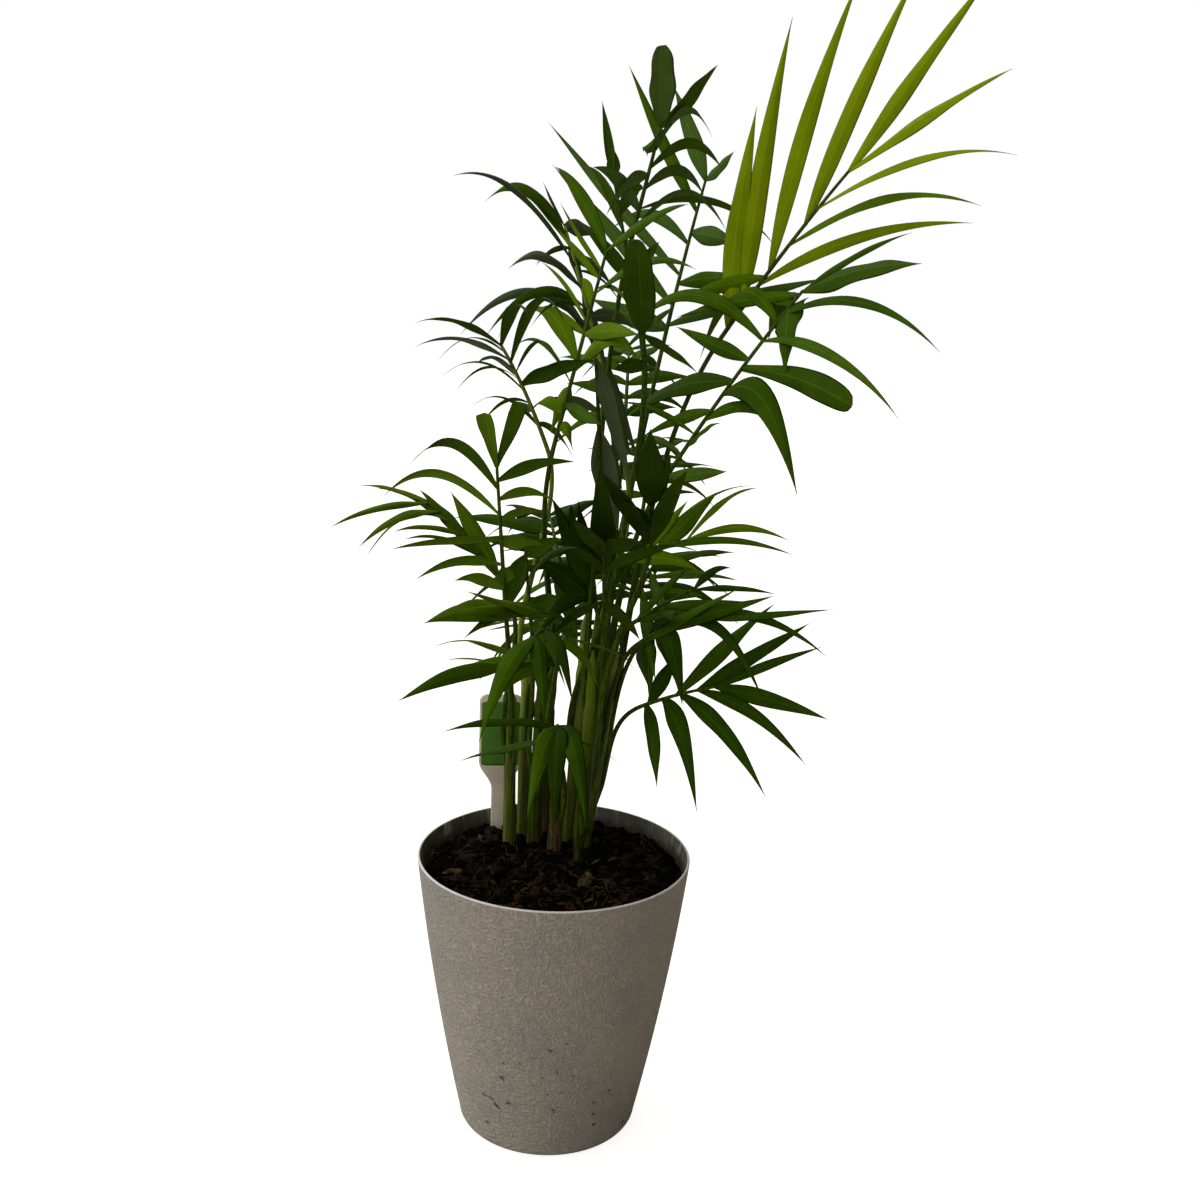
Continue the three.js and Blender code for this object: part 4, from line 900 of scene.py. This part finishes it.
def rib(frond, s):
    """Points on the rib at s, 0 to 1, and its unit tangents towards the tip.

    A quadratic curve from knee to tip whose middle handle stands 2 bow above the chord's middle.
    """
    knee, tip = np.array(frond["knee"], float), np.array(frond["tip"], float)
    middle = (knee + tip) / 2 + UP * 2 * frond["bow"]
    s = np.asarray(s, float)[..., None]
    points = knee * (1 - s) ** 2 + middle * 2 * s * (1 - s) + tip * s * s
    return points, unit((middle - knee) * (1 - s) + (tip - middle) * s)


def stalk_path(frond):
    """Points from inside the leaf base, up the bare stalk and along the rib, and the radius at each.

    Base: beside the cane's axis, coming out to the stalk's foot. Stalk: a cubic Hermite curve that
    starts along the cane and arrives along the rib, both slopes PULL times its chord. Then the rib.
    """
    cane = CANES[frond["cane"]]
    low, high = cane_path(cane, 0.0), cane_path(cane, 1.0)
    rise = high[2] - low[2]
    facing = np.array([np.cos(np.radians(frond["side"])), np.sin(np.radians(frond["side"])), 0])
    stout = frond["stout"]

    z = np.linspace(frond["leaves"] - RUN_DOWN, frond["leaves"], 12)[:, None]
    share = smooth(z, z[0], z[-1])
    u = (z - low[2]) / rise
    out = cane_radius(cane, u) - 0.9 * stout * (1 - share) + (stout + STALK_GAP) * share
    base = cane_path(cane, u[:, 0]) + facing * out
    start = base[-1]

    knee, arriving = rib(frond, 0.0)
    reach = PULL * np.linalg.norm(knee - start)
    v = np.linspace(0, 1, 34)[:, None]
    stalk = (
        start * (2 * v**3 - 3 * v**2 + 1)
        + unit(high - low) * reach * (v**3 - 2 * v**2 + v)
        + knee * (3 * v**2 - 2 * v**3)
        + arriving * reach * (v**3 - v**2)
    )
    s = np.linspace(0, 1, 22)[1:]
    path = np.concatenate([base[:-1], stalk, rib(frond, s)[0]])
    foot = FOOT_SHARE * stout
    radius = np.concatenate([
        np.linspace(0.35, FOOT_SHARE, len(base) - 1) * stout,
        foot + (KNEE_RADIUS - foot) * smooth(v[:, 0], -0.2, 1.0),
        KNEE_RADIUS + (TIP_RADIUS - KNEE_RADIUS) * s,
    ])
    return path, radius


green = stem_finish("frond stalk", (0.070, 0.120, 0.006, 1), (0.026, 0.052, 0.002, 1))
# Painted light: a brighter copy of the stalk green, for the stalks on the lit upper left.
pale = stem_finish("frond lit stalk", (0.270, 0.350, 0.050, 1), (0.150, 0.205, 0.022, 1))
for name, frond in FRONDS.items():
    path, radius = stalk_path(frond)
    finish = pale if name in LIT_STALKS else green
    piece = add_piece(f"stalk_{name}", tubes(path[None], radius[None], STALK_SIDES), [finish])
    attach(piece, "root")
    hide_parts(f"frond_{name}")

# ---------------------------------------------------------------- leaflets
# Each frond carries two ranks of thin leathery leaflets, folded like a low roof along the midrib,
# with parallel veins. They are narrow at the root, widest before the middle and drawn out to a
# fine tip, and they bow over under their own weight.
LEAF_RINGS = 22
# Across the leaflet, -1 to 1: over the upper side, and back along the underside.
OVER = (-1, -0.8, -0.42, -0.1, 0, 0.1, 0.42, 0.8)
UNDER = (1, 0.8, 0.42, 0.09, 0, -0.09, -0.42, -0.8)
# FOLD is the roof's fall as a share of its half width, and SLIM the share of the width given in FRONDS
# that a leaflet has.
FOLD = 0.26
SLIM = 0.93
WIDEST = 0.36
DROOP_POWER = 2.2
GROOVE = 0.12
KEEL = 0.3
# Thickness, what is added to it at a width of 8, and what is added at the root and over what length.
LEAF_THICK, BROAD_THICK, ROOT_THICK, ROOT_LONG = 0.15, 0.10, 0.9, 0.018
ROOT_SINK = 0.4
MORE_PAIRS = 1.75
# At most: curl towards the tip and tilt (degrees), weave sideways (of its length), waves of the edge.
CURL, TILT = 16, 10
WEAVE, WAVE = 0.012, 0.10


def leaf_rows(frond):
    """All leaflets of a frond as columns: place along the rib, hand, length, angle, sag, width, tip, blunt.

    Place is first + (1 - first) * share^crowd, except for the extra ones, which give their own place
    and hand. Pairs are worked out: the length follows a half sine wave along the rib, the angle goes
    evenly from first to last, and a quick sine wave changes both, and the sag, from leaflet to leaflet.
    """
    found = []
    for hand, key, start, crowd in zip((1, -1), ("left", "right"), frond["first"], frond["crowd"]):
        rows = frond[key]
        if "pairs" in frond:
            count, length, first, last, sag, width = frond["pairs"]
            count = int(round(count * MORE_PAIRS))
            i = np.arange(count)
            wave = 0.28 * np.sin(np.pi * (i + 0.5) / count) + 0.12 * np.sin(2.3 * i + hand)
            lengths = length * (0.72 + wave)
            angles = first + (last - first) * i / (count - 1) + 8 * np.sin(1.7 * i + 2 * hand)
            sags = sag * (1.1 + 0.6 * np.sin(3.1 * i + hand))
            rows = [(a, b, c, width * 0.85) for a, b, c in zip(lengths, angles, sags)]
        for i, row in enumerate(rows):
            if row is not None:
                s = start + (1 - start) * (i / (len(rows) - 1)) ** crowd if len(rows) > 1 else 1
                found.append((s, hand, *row))
    found += frond["extra"]
    return np.array([row + (0,) * (8 - len(row)) for row in found], float).T


def leaf_share(u):
    """Width at u: a sine from 0.2 at the root to 1 at WIDEST, then (1 - t^1.7)^1.15 down to the tip."""
    rising = 0.2 + 0.8 * np.sin(np.pi / 2 * np.clip(u / WIDEST, 0, 1))
    t = np.clip((u - WIDEST) / (1 - WIDEST), 0, 1)
    return np.where(u < WIDEST, rising, np.maximum(1 - t**1.7, 0) ** 1.15)


def blunt_share(u, kind):
    """Width at u of a blunt leaflet: an S from 0.25 up to 1, then an end whose corners are rounded.

    Kind 1 rounds off over its last quarter and kind 3 over its last twentieth. Kind 2 is a wedge that
    is full at its root and tapers evenly. Kind 4 is an oval: the root of 1 - ((u - 0.54) / 0.49)^2.
    """
    round_from = np.where(kind == 3, 0.95, 0.76)
    t = np.clip((u - round_from) / (1 - round_from), 0, 1)
    rounded = (0.25 + 0.75 * smooth(u, -0.1, 0.75)) * np.sqrt(np.maximum(1 - t**2.6, 0.01))
    oval = np.sqrt(np.maximum(1 - ((u - 0.54) / 0.49) ** 2, 0.02))
    return np.where(kind == 2, 1 - 0.93 * u, np.where(kind == 4, oval, rounded))


def ring_places():
    """Places of the rings from root to tip, closer together near the tip: 1 - (1 - t)^1.15."""
    return 1 - (1 - np.linspace(0, 1, LEAF_RINGS)) ** 1.15


def leaflet_rings(frond, draw):
    """The skins of a frond's leaflets (leaflets, rings, points, xyz).

    The middle line leaves the rib along aim and sags: root + length (aim u + bend u^p / 2), where p is
    DROOP_POWER. Each ring is a roof section across it: half width times the share at u, edges about
    FOLD lower than the midrib, gently waved, with a groove on top and a keel below.
    """
    s, hand, length, angle, sag, width, tip, blunt = leaf_rows(frond)
    n = len(s)
    root, along = rib(frond, s)
    face = unit(UP - along * along[:, 2:])
    face = turned(face, along, np.full(n, np.radians(frond["roll"])))
    across = np.cross(face, along) * hand[:, None]
    lift = np.radians(frond["lift"] + tip)[:, None]
    angle = np.radians(angle)[:, None]
    outward = across * np.cos(lift) + face * np.sin(lift)
    aim = along * np.cos(angle) + outward * np.sin(angle)
    sweep = np.where(hand > 0, *frond["sweep"])[:, None]
    fall = sag * (0.3 + 0.7 * np.hypot(aim[:, 0], aim[:, 1]))
    bend = along * sweep - UP * fall[:, None]
    skin = face * np.cos(lift) - across * np.sin(lift)
    twist = np.where(hand > 0, *frond["turn"])
    skin = turned(skin, aim, np.radians(twist) * hand)
    wide = unit(np.cross(aim, skin))
    root = root - aim * ROOT_SINK

    u = ring_places()
    u3 = u[None, :, None]
    aim, bend, wide, length3 = aim[:, None], bend[:, None], wide[:, None], length[:, None, None]
    line = root[:, None] + length3 * (aim * u3 + bend * u3**DROOP_POWER / 2)
    tangent = unit(aim + bend * (DROOP_POWER / 2) * u3 ** (DROOP_POWER - 1))
    w = unit(wide - tangent * (tangent * wide).sum(-1, keepdims=True))
    curl = np.radians(draw.uniform(-CURL, CURL, (n, 1))) * u + np.radians(draw.uniform(-TILT, TILT, (n, 1)))
    w = turned(w, tangent, curl)
    normal = np.cross(w, tangent)
    weave = draw.uniform(-WEAVE, WEAVE, (n, 1, 1)) * length3 * np.sin(np.pi * u3) ** 2
    line = line + w * weave

    a = np.array(OVER + UNDER)
    top_side = (np.arange(len(a)) < len(OVER)) & (np.abs(a) < 1)
    blunt = blunt[:, None]
    share = np.where(blunt > 0, blunt_share(u, blunt), np.maximum(leaf_share(u), 0.02))[..., None]
    half = SLIM * width[:, None, None] / 2 * share
    thick = LEAF_THICK + BROAD_THICK * np.sqrt(width / 8)[:, None, None]
    thick = thick + ROOT_THICK * np.exp(-u3 / ROOT_LONG)
    thick = thick * (0.25 + 0.75 * np.minimum(share / 0.25, 1))
    profile = np.where(np.abs(a) < 1, np.where(top_side, 0.5, -0.5), 0) * (1 - 0.5 * np.abs(a))
    ridge = np.minimum(1, 1.15 - u3) * np.exp(-((a / 0.07) ** 2))
    ridge = ridge * np.where(top_side, -GROOVE, -KEEL)
    wave_number = draw.uniform(1.2, 2.6, (n, 1, 1))
    wave_start = draw.uniform(0, 2 * np.pi, (n, 1, 1))
    wave = WAVE * np.sin(2 * np.pi * wave_number * u3 + wave_start + 1.5 * np.sign(a)) * a**2
    fold = FOLD * draw.uniform(0.5, 1.5, (n, 1, 1))
    rise = half * (wave - fold * np.abs(a) ** 1.3) + thick * profile + ridge * np.minimum(half / 3, 1)
    return line[:, :, None] + w[:, :, None] * (half * a)[..., None] + normal[:, :, None] * rise[..., None]


# Leaf skin, used by every green: midrib, parallel veins, clouded colour, and a dry brown tip.
leaf_skin, given, result = new_group(
    "leaf skin",
    {"UV": "", "Object": "", "Colour": (0.05, 0.1, 0.01, 1.0), "Dark Colour": (0.03, 0.07, 0.01, 1.0),
     "Midrib Colour": (0.1, 0.16, 0.03, 1.0), "Veins": 9.0},
    {"Colour": "NodeSocketColor", "Height": "NodeSocketFloat"},
)
parts = add(leaf_skin, "ShaderNodeSeparateXYZ", {0: given["UV"]}).outputs
off_middle = math(leaf_skin, "ABSOLUTE", math(leaf_skin, "SUBTRACT", parts[1], 0.5))
wander = noise(leaf_skin, given["Object"], 120.0, 2.0)[0]
vein = math(leaf_skin, "MULTIPLY", wander, 0.5)
vein = math(leaf_skin, "MULTIPLY_ADD", off_middle, given["Veins"], vein)
vein = ramp(leaf_skin, math(leaf_skin, "SINE", math(leaf_skin, "MULTIPLY", vein, 2 * np.pi)), -1.0, 1.0)
clouds = place_group(
    leaf_skin, mottle, Vector=given["Object"], Scale=38.0,
    Colour=given["Colour"], Second_Colour=given["Dark Colour"],
)
dark_share = math(leaf_skin, "MULTIPLY", vein, 0.35)
veined = blend_colours(leaf_skin, dark_share, clouds["Colour"], given["Dark Colour"])
midrib = ramp(leaf_skin, off_middle, 0.030, 0.008)
pale_share = math(leaf_skin, "MULTIPLY", midrib, 0.45)
ribbed = blend_colours(leaf_skin, pale_share, veined, given["Midrib Colour"])
dry_tip = ramp(leaf_skin, math(leaf_skin, "MULTIPLY_ADD", wander, 0.05, parts[0]), 1.005, 1.025)
leaf_skin.links.new(blend_colours(leaf_skin, dry_tip, ribbed, (0.16, 0.10, 0.045, 1)), result["Colour"])
height = math(leaf_skin, "MULTIPLY_ADD", midrib, -0.6, math(leaf_skin, "MULTIPLY", vein, 0.5))
leaf_skin.links.new(height, result["Height"])


def leaf_finish(name, colour, dark, midrib_colour, roughness, gloss):
    """A leaf's green from the leaf skin group; each colour is (red, green, blue)."""
    material, tree, here = new_finish(name, Roughness=roughness, Specular_IOR_Level=gloss)
    skin = place_group(
        tree, leaf_skin, UV=here.node.outputs["UV"], Object=here,
        Colour=(*colour, 1), Dark_Colour=(*dark, 1), Midrib_Colour=(*midrib_colour, 1),
    )
    return dress(material, skin["Colour"], skin["Height"], 0.00012, 0.6)


# Greens: upper colour, its darker cloud, underside, its darker cloud. The midrib is PALER than the
# underside. Each green is partly the leaflets' own colour and partly painted light and shade: the
# darkest greens are painted shade for leaflets inside and low in the crown, the brightest are painted
# light coming through leaflets lit from behind, the greyest is a painted sheen of sky light, and the
# blue-green is partly painted sheen too. Only the leaflets with the painted grey sheen shine a little more.
PALER = 1.35
SHINE, DULL_SHINE = 0.045, 0.012
GREENS = {
    # Painted shade: the darkest green, for leaflets inside and low in the crown.
    "shade": ((0.023, 0.049, 0.001), (0.013, 0.031, 0.001), (0.042, 0.084, 0.004), (0.027, 0.057, 0.002)),
    "deep": ((0.032, 0.074, 0.001), (0.019, 0.048, 0.001), (0.054, 0.110, 0.005), (0.034, 0.076, 0.003)),
    "rich": ((0.045, 0.100, 0.001), (0.027, 0.066, 0.001), (0.074, 0.140, 0.006), (0.047, 0.098, 0.003)),
    "middle": ((0.058, 0.124, 0.001), (0.035, 0.082, 0.001), (0.092, 0.166, 0.007), (0.060, 0.116, 0.004)),
    # The blue-green of the top fronds: partly their own colour and partly painted sheen.
    "cool": ((0.068, 0.134, 0.019), (0.047, 0.099, 0.013), (0.108, 0.182, 0.036), (0.075, 0.134, 0.025)),
    # Painted sheen: the grey green stands for sky light glancing off arched leaflets.
    "grey": ((0.074, 0.104, 0.044), (0.049, 0.075, 0.029), (0.126, 0.166, 0.080), (0.086, 0.118, 0.052)),
    # Painted light: the two brightest greens stand for light coming through leaflets from behind.
    "fresh": ((0.108, 0.196, 0.002), (0.071, 0.137, 0.001), (0.152, 0.250, 0.007), (0.105, 0.180, 0.004)),
    "lit": ((0.230, 0.325, 0.003), (0.164, 0.244, 0.002), (0.255, 0.355, 0.005), (0.180, 0.264, 0.003)),
}
finishes = {}
for tone, (upper, upper_dark, under, under_dark) in GREENS.items():
    midrib = tuple(PALER * c + 0.004 for c in under)
    gloss = SHINE if tone == "grey" else DULL_SHINE
    finishes[tone] = [
        leaf_finish(f"leaf {tone} upper", upper, upper_dark, midrib, 0.50, gloss),
        leaf_finish(f"leaf {tone} underside", under, under_dark, midrib, 0.60, gloss),
    ]
# The greens of a frond's leaflets, by its tone; each leaflet is dealt one of them.
DEALT = {
    "deep": ("deep", "deep", "middle"),
    "shade": ("shade", "deep"),
    "rich": ("middle", "rich"),
    "dull": ("grey", "deep", "deep"),
    "dark": ("deep", "shade"),
    "cool": ("middle", "cool", "cool"),
    "low": ("shade", "deep", "deep", "deep", "middle"),
    "middle": ("middle", "middle", "deep", "rich"),
    "grey": ("grey", "grey", "middle"),
    "fresh": ("fresh", "fresh", "middle"),
    "lit": ("lit", "lit", "fresh", "lit", "lit"),
}

around = np.array(OVER + UNDER)
beneath = np.arange(len(around)) >= len(OVER)
for number, (name, frond) in enumerate(FRONDS.items()):
    draw = np.random.default_rng(500 + number)
    rings = leaflet_rings(frond, draw)
    u = ring_places()[:, None]
    uv = np.stack([u + 0 * around, 0.5 + 0.5 * around + 0 * u], -1)
    dealt = DEALT[frond["tone"]]
    pick = 2 * draw.integers(0, len(dealt), len(rings))[:, None, None] + beneath
    skins = [finish for green in dealt for finish in finishes[green]]
    piece = add_piece(f"leaflets_{name}", rings, skins, pick=pick, uv=uv)
    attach(piece, "root")
    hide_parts(f"frond_{name}")

# ---------------------------------------------------------------- stage, light and camera
# A pale floor, soft light from the left and above, and a camera a little above the plant's middle.
FLOOR_REACH = 6
FLOOR_GLOW = 0.86
# Light from a direction: this much from either side, plus a slope along X and one along Z.
LEVEL, ACROSS, UPWARDS = 0.54, -0.82, 0.15
DARKEST = 0.03
# A broad soft window high up behind the plant, a little to the left.
WINDOW_AT = (-0.3, 0.55, 0.78)
WINDOW_LIGHT = 0.45
CAMERA_AT = (0, -0.674, 0.438)
CAMERA_PITCH, CAMERA_YAW, CAMERA_ROLL = 13.1, 1.6, 2.1
LENS, SENSOR = 42, 36
WHITE = (1, 1, 1, 1)

corners = [(-1, -1, 0), (1, -1, 0), (1, 1, 0), (-1, 1, 0)]
mesh = bpy.data.meshes.new("floor")
mesh.from_pydata([tuple(FLOOR_REACH * c for c in corner) for corner in corners], [], [(0, 1, 2, 3)])
floor = bpy.data.objects.new("floor", mesh)
bpy.context.scene.collection.objects.link(floor)
material, tree, _ = new_finish(
    "floor pale", Roughness=0.9, Base_Color=(0.50, 0.45, 0.38, 1), Emission_Color=WHITE
)
seen = add(tree, "ShaderNodeLightPath").outputs["Is Camera Ray"]
glow = math(tree, "MULTIPLY", seen, FLOOR_GLOW)
tree.links.new(glow, tree.nodes["Principled BSDF"].inputs["Emission Strength"])
mesh.materials.append(material)

# Soft room light: it falls off from the left to the right and from above to below. The camera itself
# sees plain white.
world = bpy.data.worlds.new("soft room")
bpy.context.scene.world = world
world.use_nodes = True
tree = world.node_tree
towards = add(tree, "ShaderNodeTexCoord").outputs["Generated"]
direction = add(tree, "ShaderNodeSeparateXYZ", {0: towards}).outputs
level = math(tree, "MULTIPLY_ADD", direction[0], ACROSS, LEVEL)
level = math(tree, "MULTIPLY_ADD", direction[2], UPWARDS, level)
level = math(tree, "MAXIMUM", level, DARKEST)
window = add(tree, "ShaderNodeVectorMath", {0: towards, 1: WINDOW_AT}, operation="DOT_PRODUCT")
window = ramp(tree, window.outputs["Value"], 0.45, 0.95, 0.0, WINDOW_LIGHT)
level = math(tree, "ADD", level, window)
seen = add(tree, "ShaderNodeLightPath").outputs["Is Camera Ray"]
warm = ramp(tree, direction[0], -0.2, 0.9)
tint = blend_colours(tree, warm, (1.0, 0.98, 0.96, 1), (1.0, 0.90, 0.76, 1))
background = tree.nodes["Background"].inputs
tree.links.new(blend_colours(tree, seen, tint, WHITE), background["Color"])
bright = add(tree, "ShaderNodeMix", {0: seen, 2: level, 3: 1.0}, data_type="FLOAT").outputs[0]
tree.links.new(bright, background["Strength"])

# The camera looks along +Y, turned right by its yaw, down by its pitch, and then rolled.
lens = bpy.data.cameras.new("camera")
lens.lens = LENS
lens.sensor_width = SENSOR
camera = bpy.data.objects.new("camera", lens)
pitch, yaw, roll = np.radians([CAMERA_PITCH, CAMERA_YAW, CAMERA_ROLL])
level_view = Euler((np.pi / 2 - pitch, 0, -yaw)).to_matrix().to_4x4()
camera.matrix_world = Matrix.Translation(CAMERA_AT) @ level_view @ Matrix.Rotation(roll, 4, "Z")
bpy.context.scene.collection.objects.link(camera)
bpy.context.scene.camera = camera
bpy.context.scene.view_settings.view_transform = "Standard"
